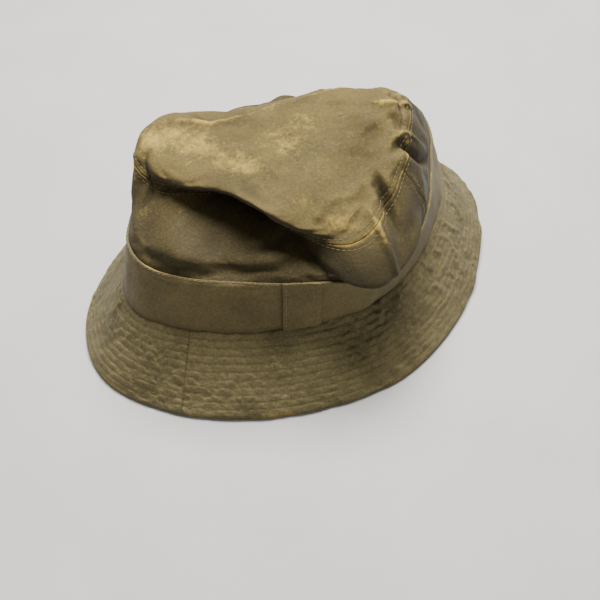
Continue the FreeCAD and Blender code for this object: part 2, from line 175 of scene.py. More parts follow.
# Rings of the pushed-in crown: (angle, share of the head seam, share of the height above the band).
WALL_LOW = [
    (0, 0.83, 0.35), (45, 0.85, 0.26), (90, 0.88, 0.14), (115, 0.93, 0.16), (135, 0.94, 0.21),
    (150, 0.93, 0.21), (163, 0.89, 0.16), (180, 0.86, 0.12), (208, 0.81, 0.07), (227, 0.80, 0.07),
    (247, 0.89, 0.05), (255, 0.95, 0.05), (265, 1.08, -0.07), (275, 1.15, -0.12), (285, 1.09, 0.07),
    (298, 0.96, 0.30), (316, 0.87, 0.35), (330, 0.84, 0.37),
]
WALL_HIGH = [
    (0, 0.75, 0.58), (45, 0.76, 0.37), (90, 0.81, 0.23), (115, 0.93, 0.37), (135, 0.95, 0.40),
    (150, 0.92, 0.37), (163, 0.83, 0.33), (180, 0.70, 0.30), (208, 0.59, 0.26), (222, 0.59, 0.23),
    (240, 0.76, 0.21), (254, 0.95, 0.21), (265, 1.03, 0.21), (275, 1.06, 0.21), (287, 0.95, 0.37),
    (298, 0.88, 0.49), (316, 0.81, 0.58), (330, 0.79, 0.65),
]
TIP_SEAM = [
    (0, 0.66, 0.81), (20, 0.66, 0.70), (45, 0.66, 0.51), (70, 0.68, 0.33), (90, 0.72, 0.23),
    (105, 0.82, 0.35), (120, 0.97, 0.53), (134, 0.97, 0.51), (150, 0.86, 0.49), (163, 0.72, 0.42),
    (175, 0.57, 0.40), (190, 0.44, 0.37), (205, 0.40, 0.37), (220, 0.44, 0.35), (232, 0.55, 0.33),
    (243, 0.74, 0.33), (254, 0.89, 0.35), (262, 0.88, 0.37), (270, 0.87, 0.42), (278, 0.82, 0.49),
    (291, 0.79, 0.60), (298, 0.78, 0.70), (315, 0.74, 0.84), (329, 0.72, 0.95), (345, 0.69, 0.91),
]
TIP_FOLD = [
    (0, 0.60, 0.88), (20, 0.60, 0.79), (45, 0.59, 0.63), (70, 0.60, 0.49), (90, 0.64, 0.44),
    (105, 0.74, 0.51), (120, 0.90, 0.65), (134, 0.90, 0.65), (150, 0.81, 0.65), (163, 0.74, 0.63),
    (175, 0.66, 0.65), (190, 0.62, 0.67), (205, 0.60, 0.70), (220, 0.63, 0.70), (232, 0.71, 0.63),
    (243, 0.81, 0.51), (254, 0.86, 0.44), (262, 0.83, 0.44), (270, 0.82, 0.49), (278, 0.77, 0.56),
    (291, 0.74, 0.67), (298, 0.73, 0.74), (315, 0.69, 0.91), (329, 0.67, 1.02), (345, 0.63, 0.98),
]
TIP_MIDDLE = [
    (0, 0.45, 0.91), (45, 0.42, 0.72), (70, 0.42, 0.63), (90, 0.46, 0.58), (115, 0.62, 0.60),
    (135, 0.66, 0.70), (160, 0.54, 0.77), (190, 0.40, 0.81), (220, 0.42, 0.84), (250, 0.58, 0.63),
    (270, 0.60, 0.63), (290, 0.55, 0.74), (315, 0.52, 0.91), (330, 0.50, 1.00),
]
TIP_INNER = [
    (0, 0.24, 0.88), (90, 0.24, 0.72), (135, 0.30, 0.70), (180, 0.24, 0.81), (225, 0.24, 0.84),
    (270, 0.30, 0.72), (315, 0.26, 0.86),
]
TIP_CENTRE_RISE = 0.79
# The band's top: (angle, share of the head seam, share of the band's height).
BAND_TOP = [
    (0, 0.90, 1.03), (45, 0.90, 0.98), (90, 0.92, 0.95), (135, 0.93, 0.96), (165, 0.92, 0.97),
    (180, 0.91, 0.97), (211, 0.92, 0.98), (230, 0.92, 0.98), (241, 0.95, 0.98), (253, 0.96, 0.96),
    (263, 1.00, 0.85), (275, 1.06, 0.73), (283, 1.07, 0.90), (290, 1.03, 1.06), (299, 0.99, 1.08),
    (316, 0.92, 1.06), (330, 0.88, 1.04),
]

STATIONS = 24
STEP = 360.0 / STATIONS
RING_GAIN = 3.0 / (2.0 + math.cos(math.radians(STEP)))   # a cubic skin runs inside its ring
STATION_ANGLES = np.arange(STATIONS) * STEP


def eased(t):
    """From 0 to 1, slow at both ends."""
    return t * t * (3 - 2 * t)


def run_along(line):
    """How far along a line of points each point lies."""
    return np.concatenate([[0], np.cumsum(np.linalg.norm(np.diff(line, axis=0), axis=1))])


def read_round(table, angles):
    """Both columns of a table at the given angles, by a smooth curve that closes on itself."""
    rows = np.array(table, float)
    rows = np.vstack([rows[-2:] - [360, 0, 0], rows, rows[:2] + [360, 0, 0]])
    i = np.searchsorted(rows[:, 0], angles, side="right") - 1
    x0, x1, x2, x3 = (rows[i + k, 0][:, None] for k in (-1, 0, 1, 2))
    y0, y1, y2, y3 = (rows[i + k, 1:] for k in (-1, 0, 1, 2))
    t = (angles[:, None] - x1) / (x2 - x1)
    leave = (y2 - y0) / (x2 - x0) * (x2 - x1)
    arrive = (y3 - y1) / (x3 - x1) * (x2 - x1)
    return (
        (2 * t**3 - 3 * t**2 + 1) * y1 + (t**3 - 2 * t**2 + t) * leave
        + (3 * t**2 - 2 * t**3) * y2 + (t**3 - t**2) * arrive
    )


def around(values, angles):
    """Four values, given at the back, right, front and left, blended to any angle."""
    back, right, front, left = (values[name] for name in ("back", "right", "front", "left"))
    turn = np.radians(angles)
    first = (back - front) / 2.0 * np.cos(turn) + (right - left) / 2.0 * np.sin(turn)
    second = (back + front - right - left) / 4.0 * np.cos(2 * turn)
    return (back + right + front + left) / 4.0 + first + second


def head_plan(angles, share=1.0):
    """Points of the head oval, or of the same oval drawn in by a share, seen from above."""
    turn = np.radians(angles)
    power = HEAD_POINTEDNESS
    reach = (np.abs(np.cos(turn)) ** power + np.abs(np.sin(turn)) ** power) ** (-1.0 / power) * share
    x = sizes().head_length / 2 * np.cos(turn) * reach
    y = sizes().head_width / 2 * np.sin(turn) * reach
    return np.stack([x, y, 0 * x], -1)


def outward(angles):
    """Level directions square to the head oval."""
    along = head_plan(angles + STEP / 2) - head_plan(angles - STEP / 2)
    out = np.stack([along[:, 1], -along[:, 0], 0 * along[:, 0]], -1)
    return out / np.linalg.norm(out, axis=1)[:, None]


def brim_stack():
    return 2 * cloth().brim_ply + cloth().interlining


def head_height(angles):
    """How high the head seam stands over the table."""
    off_back = np.mod(angles + 180.0, 360.0) - 180.0
    edge = brim_stack() + sizes().back_lift * np.exp(-((off_back / BACK_LIFT_SPREAD) ** 2))
    return edge + sizes().brim_width * np.sin(np.radians(around(BRIM_SLOPE, angles)))


def upright_ring(share, height):
    ring = head_plan(STATION_ANGLES, share)
    ring[:, 2] = height
    return ring


def crown_ring(table):
    band_level = head_height(STATION_ANGLES).mean() + sizes().band_height
    share, rise = read_round(table, STATION_ANGLES).T
    return upright_ring(share, band_level + sizes().crown_above_band * rise)


def wall_rings():
    """Control rings of the wall: the head seam, up the band to its top, and the wall above."""
    share, stand = read_round(BAND_TOP, STATION_ANGLES).T
    low = upright_ring(1.0, head_height(STATION_ANGLES))
    top = upright_ring(share, head_height(STATION_ANGLES) + sizes().band_height * stand)
    band = [low + (top - low) * i / 3.0 for i in range(4)]
    return band + [crown_ring(table) for table in (WALL_LOW, WALL_HIGH, TIP_SEAM)]


def tip_rings():
    middle = [(0, 0.0, TIP_CENTRE_RISE), (120, 0.0, TIP_CENTRE_RISE), (240, 0.0, TIP_CENTRE_RISE)]
    return [crown_ring(table) for table in (TIP_SEAM, TIP_FOLD, TIP_MIDDLE, TIP_INNER, middle)]


def brim_rings():
    slope = np.radians(around(BRIM_SLOPE, STATION_ANGLES))
    rings = []
    for share in (0.0, 1 / 3, 2 / 3, 1.0):
        ring = upright_ring(1.0, head_height(STATION_ANGLES))
        ring += outward(STATION_ANGLES) * (sizes().brim_width * np.cos(slope) * share)[:, None]
        ring[:, 2] -= sizes().brim_width * np.sin(slope) * share
        ring[:, 2] -= sizes().brim_sag * 4 * share * (1 - share)
        rings.append(ring)
    return rings


def closed_weights(angles):
    """How much each station counts at an angle, on a closed cubic B-spline."""
    where = np.mod(angles / STEP, STATIONS)
    first = np.floor(where).astype(int)
    t = where - first
    parts = [(1 - t) ** 3, 3 * t**3 - 6 * t**2 + 4, -3 * t**3 + 3 * t**2 + 3 * t + 1, t**3]
    weights = np.zeros((len(angles), STATIONS))
    for k, part in enumerate(parts):
        weights[np.arange(len(angles)), (first + k - 1) % STATIONS] += part / 6.0
    return weights


def open_weights(count, v):
    """How much each of count rings counts at v, on a cubic B-spline that ends on its end rings."""
    degree = 3
    knots = np.concatenate([np.zeros(degree), np.linspace(0, 1, count - degree + 1), np.ones(degree)])
    v = np.clip(v, 0.0, 1.0 - 1e-9)[:, None]
    basis = ((v >= knots[:-1]) & (v < knots[1:])).astype(float)
    for d in range(1, degree + 1):
        width = len(knots) - 1 - d
        rise = np.maximum(knots[d:d + width] - knots[:width], 1e-12)
        fall = np.maximum(knots[d + 1:d + 1 + width] - knots[1:1 + width], 1e-12)
        up = (v - knots[:width]) / rise * basis[:, :width]
        down = (knots[d + 1:d + 1 + width] - v) / fall * basis[:, 1:1 + width]
        basis = up + down
    return basis


def lofted(rings, angles, v):
    """Points of the smooth skin through closed control rings, as rows of v by columns of angle."""
    poles = np.array(rings) * [RING_GAIN, RING_GAIN, 1.0]
    return np.einsum("vk,kjc,uj->vuc", open_weights(len(rings), v), poles, closed_weights(angles))


# ---------------------------------------------------------------- fine grids
CROWN_COLUMNS = 720
WALL_ROWS = 96
TIP_ROWS = 128
BRIM_COLUMNS = 1440
BRIM_GRID_ROWS = 96


def cubic(t):
    """Weights of the four neighbours of a place t of the way from the second to the third."""
    return (
        0.5 * (-t + 2 * t**2 - t**3), 0.5 * (2 - 5 * t**2 + 3 * t**3),
        0.5 * (t + 4 * t**2 - 3 * t**3), 0.5 * (-t**2 + t**3),
    )


def read_grid(grid, row, column):
    """Values of a grid between its points, smoothly. Its columns run round and meet."""
    row, column = np.broadcast_arrays(np.clip(row, 0, len(grid) - 1), column)
    i = np.minimum(np.floor(row).astype(int), len(grid) - 2)
    j = np.floor(column).astype(int)
    total = 0.0
    for a, down in enumerate(cubic(row - i)):
        near = np.clip(i + a - 1, 0, len(grid) - 1)
        for b, across in enumerate(cubic(column - j)):
            weight = down * across
            value = grid[near, (j + b - 1) % grid.shape[1]]
            total = total + (weight[..., None] if grid.ndim == 3 else weight) * value
    return total


def wander(seed, rows, columns, down, round_):
    """Smooth random hills, about 1 high, from a lattice of so many rows and columns.

    down runs from 0 to 1 over the rows and round_ over the columns, which meet.
    """
    lattice = np.random.default_rng(seed).standard_normal((rows + 1, columns))
    return read_grid(lattice, down * rows, round_ * columns)


def facing(grid):
    """Outward directions of a grid's points."""
    across = np.roll(grid, -1, 1) - np.roll(grid, 1, 1)
    normals = np.cross(across, np.gradient(grid, axis=0))
    lengths = np.linalg.norm(normals, axis=2)
    normals /= np.maximum(lengths, 1e-15)[..., None]
    if lengths[-1].max() < 1e-12:
        middle = normals[-2].mean(0)
        normals[-1] = middle / np.linalg.norm(middle)
    return normals


def blurred(grid, times):
    """The grid with each point moved to the mean of its neighbours, so many times."""
    for _ in range(times):
        beside = (np.roll(grid, 1, 1) + np.roll(grid, -1, 1)) / 4 + grid / 2
        above = np.concatenate([beside[:1], beside[:-1]])
        below = np.concatenate([beside[1:], beside[-1:]])
        grid = (above + below) / 4 + beside / 2
    return grid


class Skin:
    """A face of the hat as a fine grid. The numbers of rows up to each whole level are marks."""

    def __init__(self, grid, marks, inward=None):
        self.grid = grid
        self.marks = marks
        self.normals = facing(grid)
        self.inward = -self.normals if inward is None else np.broadcast_to(inward, grid.shape)

    def lattice(self):
        """The level of each row and the angle of each column."""
        rows, columns = self.grid.shape[:2]
        return (
            np.interp(np.arange(rows), self.marks, range(len(self.marks))),
            np.arange(columns) * 360.0 / columns,
        )

    def where(self, angle, level):
        row = np.interp(level, range(len(self.marks)), self.marks)
        return row, np.asarray(angle) / 360.0 * self.grid.shape[1]

    def read(self, values, angle, level):
        return read_grid(values, *self.where(angle, level))

    def place(self, angle, level, depth=0.0):
        point = self.read(self.grid, angle, level)
        inward = self.read(self.inward, angle, level)
        return point + inward * (np.zeros(point.shape[:-1]) + depth)[..., None]

    def span(self, angle, start, end):
        """Length of the skin from one level to another, at an angle."""
        return float(run_along(self.place(angle, np.linspace(start, end, 60)))[-1])

    def level_at(self, distance, angle=180.0):
        """The level at a distance up from level 0."""
        levels = np.linspace(0, 1, 200)
        return float(np.interp(distance, run_along(self.place(angle, levels)), levels))


# ---------------------------------------------------------------- how the cloth lies
# Handfuls of the crown's cloth moved out from the middle and up, in millimetres:
# angle, level, how far the handful reaches in degrees and in levels, out, up.
CROWN_PULLS = [
    (130, 1.10, 26, 0.30, 1.0, 7.0),       # the left corner stands up
    (105, 1.10, 16, 0.22, 0.0, 3.0),
    (210, 1.00, 30, 0.12, -20.0, 0.0),     # the hollow under the overhanging tip
    (180, 1.00, 11, 0.08, -11.0, 0.0),
    (248, 0.88, 9, 0.16, -12.0, -3.0),
    (222, 1.26, 26, 0.10, 6.0, 3.0),       # the tip's overhanging fold
    (205, 0.76, 34, 0.10, 5.0, 1.5),       # the wall below it stands up before it turns in
    (277, 0.72, 14, 0.11, 4.0, 0.0),       # the wall slumped over the band
    (264, 0.76, 8, 0.14, 9.0, -1.5),
    (268, 0.92, 11, 0.12, 5.0, 0.0),
]
# Folds pressed into the crown: width and depth in millimetres (depth below zero stands up),
# and the line that each follows, as (angle, level) points.
CROWN_FOLDS = [
    # the ridge and the valley behind it on the tip's left corner
    (3.2, -3.2, [(124, 1.20), (119, 1.40), (120, 1.56), (110, 1.61), (96, 1.60), (78, 1.42)]),
    (4.5, 5.0, [(112, 1.20), (108, 1.44), (98, 1.47), (84, 1.36)]),
    # the soft valley down the tip from its right corner, and the fold that crosses the corner
    (8.0, 3.6, [(326, 1.16), (311, 1.38), (292, 1.48), (268, 1.45)]),
    (2.2, -1.8, [(342, 1.55), (336, 1.40), (333, 1.22), (335, 1.06), (336, 0.92)]),
    (2.4, 2.2, [(356, 1.12), (344, 1.22), (334, 1.14), (326, 1.10)]),
    (4.5, 2.0, [(334, 1.50), (324, 1.30), (318, 1.12), (316, 0.96)]),
    # pockets along the seam on the right
    (3.4, 5.5, [(300, 1.20), (306, 1.09), (308, 0.96), (313, 0.80), (318, 0.70)]),
    (2.4, -2.2, [(308, 1.20), (313, 1.10), (316, 0.96), (321, 0.78)]),
    (3.0, 5.5, [(288, 1.30), (285, 1.18), (283, 1.03), (281, 0.95), (278, 0.86)]),
    (2.4, -2.0, [(276, 1.16), (275, 1.04), (273, 0.92), (272, 0.80), (272, 0.68)]),
    (6.0, 1.2, [(296, 1.04), (295, 0.90), (292, 0.76), (289, 0.62)]),
    # creases in the hollow and down the front wall
    (2.4, 2.6, [(222, 0.80), (231, 0.83), (240, 0.88), (250, 0.93)]),
    (3.0, -1.3, [(222, 0.73), (232, 0.76), (242, 0.80), (250, 0.84)]),
    (3.4, 2.6, [(248, 0.92), (252, 0.80), (256, 0.68), (260, 0.58)]),
    (6.0, 2.4, [(164, 1.00), (170, 0.88), (178, 0.76), (188, 0.66)]),
    (6.0, -1.8, [(174, 0.98), (184, 0.88), (194, 0.78), (204, 0.68)]),
    (7.0, 1.8, [(194, 0.98), (204, 0.86), (214, 0.74), (226, 0.64)]),
    (2.4, 2.6, [(146, 1.16), (151, 1.08), (157, 1.00), (162, 0.92), (166, 0.82)]),
    (2.4, -1.4, [(141, 1.06), (148, 0.98), (154, 0.88), (158, 0.78)]),
    (4.0, 1.1, [(240, 0.68), (226, 0.62), (210, 0.58), (196, 0.58)]),
    # softer folds round the back, where the cloth leans on itself
    (6.0, 2.2, [(64, 1.00), (58, 0.88), (52, 0.76), (48, 0.62)]),
    (5.0, -1.8, [(74, 0.98), (68, 0.86), (64, 0.74), (62, 0.60)]),
    (6.0, 2.2, [(16, 1.00), (24, 0.88), (27, 0.74), (24, 0.60)]),
    (5.0, -1.6, [(4, 0.94), (12, 0.84), (14, 0.72), (12, 0.60)]),
    (5.0, 2.4, [(104, 1.02), (98, 0.88), (92, 0.76), (88, 0.64)]),
    (4.0, -1.6, [(132, 1.00), (126, 0.86), (122, 0.72), (122, 0.60)]),
    (5.0, 1.6, [(14, 1.06), (30, 1.16), (50, 1.26), (72, 1.30)]),
    (4.0, -1.2, [(6, 1.14), (24, 1.28), (44, 1.38), (66, 1.44)]),
]
# The same on the brim.
BRIM_FOLDS = [
    (2.0, 1.4, [(320, 0.08), (321, 0.28), (325, 0.50)]),
    (1.8, 1.2, [(297, 0.02), (297, 0.14), (299, 0.30)]),
    (1.8, 1.1, [(307, 0.05), (306, 0.18), (308, 0.30)]),
    (2.0, 1.5, [(281, 0.04), (280, 0.18), (283, 0.38)]),
    (1.6, -1.0, [(277, 0.08), (276, 0.20), (279, 0.34)]),
    (1.8, 1.2, [(272, 0.02), (273, 0.12), (271, 0.22)]),
    (1.6, 0.8, [(263, 0.02), (264, 0.12), (264, 0.22)]),
    (2.4, -1.2, [(289, 0.05), (288, 0.22), (291, 0.40)]),
    (2.4, 1.1, [(312, 0.10), (316, 0.30), (314, 0.52)]),
    (2.2, 0.9, [(332, 0.12), (335, 0.32), (333, 0.60)]),
    (2.4, 0.9, [(344, 0.20), (348, 0.44), (345, 0.66)]),
    (2.6, 1.0, [(294, 0.34), (297, 0.52), (294, 0.72)]),
    (2.2, 0.7, [(172, 0.05), (174, 0.25), (171, 0.45)]),
    (2.2, 0.7, [(152, 0.05), (150, 0.28), (153, 0.50)]),
    (2.4, 0.8, [(60, 0.05), (63, 0.30), (60, 0.55)]),
    (2.4, 0.8, [(20, 0.05), (17, 0.30), (20, 0.60)]),
    (2.4, 0.8, [(100, 0.05), (103, 0.25), (101, 0.50)]),
]


FOLD_REACH = 0.35          # levels either way that a fold can be felt
FOLD_STEPS = 14            # points along each stretch of a fold


def folded(skin, folds):
    """How far each point of a skin is pushed in by its folds."""
    levels = skin.lattice()[0]
    columns = skin.grid.shape[1]
    beside = np.arange(-columns // 9, columns // 9 + 1)        # 40 degrees either way
    depth = np.zeros(skin.grid.shape[:2])
    for width, deep, line in folds:
        knots = np.array(line, float)
        share = np.linspace(0, 1, FOLD_STEPS * (len(knots) - 1) + 1)
        run = share * (len(knots) - 1)
        line_angles = np.interp(run, range(len(knots)), knots[:, 0])
        line_levels = np.interp(run, range(len(knots)), knots[:, 1])
        points = skin.place(line_angles, line_levels)
        strengths = np.sin(np.pi * np.clip(share, 0.02, 0.98)) ** 0.7
        pressed = np.zeros(depth.shape)
        for point, angle, level, strength in zip(points, line_angles, line_levels, strengths):
            near_rows = np.flatnonzero(np.abs(levels - level) < FOLD_REACH)
            near = np.ix_(near_rows, (round(angle / 360.0 * columns) + beside) % columns)
            away = np.linalg.norm(skin.grid[near] - point, axis=2) / (width * MM)
            pressed[near] = np.maximum(pressed[near], strength * np.exp(-(away**2)))
        depth += deep * MM * pressed
    return depth


def pulled(skin, pulls):
    """How far each point of a skin is carried by handfuls of cloth."""
    levels, angles = skin.lattice()
    level_out = np.stack([np.cos(np.radians(angles)), np.sin(np.radians(angles))], -1)
    shift = np.zeros(skin.grid.shape)
    for angle, level, wide, tall, out, up in pulls:
        off = (np.mod(angles - angle + 180, 360) - 180) / wide
        weight = np.exp(-(off**2) - ((levels[:, None] - level) / tall) ** 2)
        shift[..., :2] += (weight * out * MM)[..., None] * level_out
        shift[..., 2] += weight * up * MM
    return shift


FLAT_MIDDLE = 0.22         # share of the tip's rows over which its middle is flattened
SEAM_BLUR = 60             # how often the rows by the tip's seam are smoothed
SEAM_SOFT_ROWS = 9.0       # and how many rows either side


def crown_grid():
    angles = np.arange(CROWN_COLUMNS) * 360.0 / CROWN_COLUMNS
    wall = lofted(wall_rings(), angles, np.linspace(0, 1, WALL_ROWS + 1))
    tip = lofted(tip_rings(), angles, np.linspace(0, 1, TIP_ROWS + 1)[1:])
    # The tip's middle would come to a point: there it keeps only its tilt.
    rows = np.arange(1, TIP_ROWS + 1)
    keep = eased(np.clip((TIP_ROWS - rows) / (FLAT_MIDDLE * TIP_ROWS), 0, 1))
    turn = np.radians(angles)
    height = tip[:, :, 2]
    level = height.mean(1, keepdims=True)
    tilt_x = (height * np.cos(turn)).mean(1, keepdims=True) * 2 * np.cos(turn)
    tilt_y = (height * np.sin(turn)).mean(1, keepdims=True) * 2 * np.sin(turn)
    plain = level + tilt_x + tilt_y
    tip[:, :, 2] = plain + (height - plain) * keep[:, None]
    grid = np.concatenate([wall, tip])
    # The cloth turns over the tip's seam in a soft curve.
    off_seam = np.abs(np.arange(len(grid)) - WALL_ROWS)[:, None, None]
    soft = np.exp(-((off_seam / SEAM_SOFT_ROWS) ** 2))
    return grid + (blurred(grid, SEAM_BLUR) - grid) * soft


SIM_COLUMNS = 4            # the simulated cloth takes every fourth column
SIM_ROWS = 3               # and every third row of the crown's grid
SIM_FRAMES = 16
SIM_MIDDLE = 12            # rows left out round the middle of the tip, where columns crowd
SIM_HOLD = 0.04            # how firmly the crown keeps its place above the hatband
SIM_SPARE = 0.04           # share by which the cloth is too large
SIM_LIMIT = 1.6 * MM       # the most that a point may move


def slumped(grid):
    """How the crown's cloth crumples when it is a little too large for its shape."""
    rows = np.arange(0, len(grid) - SIM_MIDDLE, SIM_ROWS)
    coarse = grid[rows][:, ::SIM_COLUMNS]
    tall, wide = coarse.shape[:2]
    index = np.arange(tall * wide).reshape(tall, wide)
    after = np.roll(index, -1, 1)
    quads = np.stack([index[:-1], after[:-1], after[1:], index[1:]], -1).reshape(-1, 4)
    middle = tall * wide
    fan = [(int(a), int(b), middle) for a, b in zip(index[-1], after[-1])]
    points = np.vstack([coarse.reshape(-1, 3), coarse[-1].mean(0)])
    mesh = bpy.data.meshes.new("slump")
    mesh.from_pydata(points.tolist(), [], quads.tolist() + fan)
    piece = bpy.data.objects.new("slump", mesh)
    bpy.context.scene.collection.objects.link(piece)
    held = piece.vertex_groups.new(name="held")
    # The hatband holds the bottom half of the wall. The rest is hardly held.
    share = np.interp(rows, [0, WALL_ROWS * 0.5, WALL_ROWS * 0.6], [1.0, 0.9, SIM_HOLD])
    for row, weight in zip(index, share):
        held.add(row.tolist(), float(weight), "REPLACE")
    held.add([middle], SIM_HOLD, "REPLACE")
    settings = piece.modifiers.new("cloth", "CLOTH").settings
    settings.quality = 6
    settings.mass = 0.35
    settings.tension_stiffness = 18.0
    settings.compression_stiffness = 18.0
    settings.shear_stiffness = 8.0
    settings.bending_stiffness = 0.25
    settings.shrink_min = -SIM_SPARE
    settings.vertex_group_mass = "held"
    settings.effector_weights.gravity = 0.0
    scene = bpy.context.scene
    for frame_number in range(1, SIM_FRAMES + 1):
        scene.frame_set(frame_number)
    moved = piece.evaluated_get(bpy.context.evaluated_depsgraph_get()).data
    settled = np.empty(len(points) * 3)
    moved.vertices.foreach_get("co", settled)
    scene.frame_set(1)
    bpy.data.objects.remove(piece)
    bpy.data.meshes.remove(mesh)
    shift = (settled.reshape(-1, 3)[:-1] - points[:-1]).reshape(tall, wide, 3)
    size = np.linalg.norm(shift, axis=2, keepdims=True)
    shift *= np.tanh(size / SIM_LIMIT) * SIM_LIMIT / np.maximum(size, 1e-9)
    all_rows = np.arange(len(grid))[:, None] / SIM_ROWS
    columns = np.arange(grid.shape[1])[None, :] / SIM_COLUMNS
    fade = np.clip((len(grid) - np.arange(len(grid))) / (4 * SIM_MIDDLE), 0, 1)[:, None, None]
    return read_grid(blurred(shift, 1), all_rows, columns) * fade


SEAM_ROW = 0.75 * MM       # about how far apart the grid's rows lie at the tip's seam
QUILT_ROOM = 0.4 * MM      # what the quilting takes up under the brim
EDGE_EASE = 0.5 * MM       # how softly the brim's edge comes down on the table


def settings_now():
    """Every size, as a key: the fine grids are made again only if one changes."""
    groups = (sizes(), cloth(), sewing())
    return tuple(getattr(group, name) for group in groups for name in group.__annotations__)


@functools.lru_cache(maxsize=2)
def crown_for(key):
    marks = [0, WALL_ROWS, WALL_ROWS + TIP_ROWS]
    grid = crown_grid() - brim_middle()
    grid = grid + pulled(Skin(grid, marks), CROWN_PULLS)
    plain = Skin(grid, marks)
    grid = grid + plain.inward * folded(plain, CROWN_FOLDS)[..., None]
    grid = grid + slumped(grid)
    rows = np.arange(len(grid))[:, None]
    columns = np.arange(CROWN_COLUMNS)[None, :]
    down, round_ = rows / rows.max(), columns / CROWN_COLUMNS
    fade = np.clip((rows.max() - rows) / 40.0, 0, 1)
    ripple = 0.30 * wander(11, 14, 36, down, round_) + 0.14 * wander(12, 34, 90, down, round_)
    grid = grid + facing(grid) * (ripple * fade * MM)[..., None]
    # At the tip's seam both edges are turned in, which leaves a low cord-like ridge.
    off_seam = np.abs(rows - WALL_ROWS) * SEAM_ROW
    roll = 0.45 * np.exp(-(((off_seam - 0.8 * MM) / (0.8 * MM)) ** 2))
    # Where the stitches pull, the cloth puckers along the seam.
    pucker = 0.22 * wander(13, 8, 150, down, round_) * np.exp(-((off_seam / (5 * MM)) ** 2))
    return Skin(grid + facing(grid) * ((roll + pucker) * MM)[..., None], marks)


@functools.lru_cache(maxsize=2)
def brim_for(key):
    marks = [0, BRIM_GRID_ROWS]
    angles = np.arange(BRIM_COLUMNS) * 360.0 / BRIM_COLUMNS
    grid = lofted(brim_rings(), angles, np.linspace(0, 1, BRIM_GRID_ROWS + 1)) - brim_middle()
    plain = Skin(grid, marks)
    grid = grid + plain.inward * folded(plain, BRIM_FOLDS)[..., None]
    level = np.linspace(0, 1, BRIM_GRID_ROWS + 1)[:, None]
    round_ = np.arange(BRIM_COLUMNS)[None, :] / BRIM_COLUMNS
    sway = 1.1 * wander(21, 2, 14, level, round_) + 0.35 * wander(22, 5, 60, level, round_)
    grid = grid + facing(grid) * (sway * level * MM)[..., None]
    # The edge rests on the table and doesn't sink into it.
    floor = brim_stack() + QUILT_ROOM
    grid[..., 2] = floor + EDGE_EASE * np.logaddexp(0, (grid[..., 2] - floor) / EDGE_EASE)
    return Skin(grid, marks, inward=(0.0, 0.0, -1.0))


def brim_middle():
    """The middle of the brim's outline before the hat is moved over the origin."""
    angles = np.arange(720) * 0.5
    edge = lofted(brim_rings(), angles, np.array([1.0]))[0]
    middle = (edge.min(0) + edge.max(0)) / 2
    middle[2] = 0.0
    return middle


def crown():
    return crown_for(settings_now())


def brim():
    return brim_for(settings_now())


def stitch_levels():
    """Levels of the rows of stitching on the brim."""
    first = sewing().head_margin / sizes().brim_width
    last = 1.0 - sewing().edge_margin / sizes().brim_width
    return np.linspace(first, last, sewing().rows)


def quilted(angle, level):
    """How far the brim's cloth stands up between its rows of stitching."""
    rows = stitch_levels()
    gap = rows[1] - rows[0]
    place = (level - rows[0]) / gap
    puff = np.abs(np.sin(np.pi * place)) ** 0.7
    edge = np.clip((1.0 - level) / (1.0 - rows[-1]), 0, 1)
    puff = np.where(place > len(rows) - 1, np.sin(np.pi * np.clip(edge, 0, 1)) ** 0.5, puff)
    round_ = np.asarray(angle) / 360.0
    pucker = wander(31, 12, 190, level, round_) + 0.6 * wander(32, 24, 330, level, round_)
    loose = 0.75 + 0.5 * wander(33, 3, 18, level, round_)
    return (0.75 * puff * (0.8 + 0.35 * pucker) + 0.26 * pucker * loose) * MM


# ---------------------------------------------------------------- pieces of cloth
ROUNDING = np.array([0.0, 0.15, 0.5])      # shares of the edge's turn, and
ROUNDED = np.array([0.0, 0.53, 0.87])      # how thick the ply is there


def lines(start, end, count, turn):
    """Grid lines from start to end, closer over the last turn at each end, and how thick to be."""
    ends = turn * ROUNDING
    body = np.linspace(start + turn, end - turn, count)
    places = np.concatenate([start + ends, body, end - ends[::-1]])
    return places, np.concatenate([ROUNDED, np.ones(count), ROUNDED[::-1]])


def made(name, points, quads, grain, marks=None):
    """An object from points and quads. Doubled corners make a quad a triangle."""
    used, place = np.unique(quads, return_inverse=True)
    quads = place.reshape(quads.shape)
    faces = [list(dict.fromkeys(quad)) for quad in quads.tolist()]
    mesh = bpy.data.meshes.new(name)
    mesh.from_pydata(points[used].tolist(), [], [face for face in faces if len(face) > 2])
    mesh.shade_smooth()
    corners = np.empty(len(mesh.loops), int)
    mesh.loops.foreach_get("vertex_index", corners)
    layer = mesh.uv_layers.new(name="Grain")
    layer.data.foreach_set("uv", grain[used][corners].astype(np.float32).ravel())
    for label, values in (marks or {}).items():
        data = mesh.attributes.new(label, "FLOAT", "POINT").data
        data.foreach_set("value", values[used].astype(np.float32))
    piece = bpy.data.objects.new(name, mesh)
    bpy.context.scene.collection.objects.link(piece)
    return piece


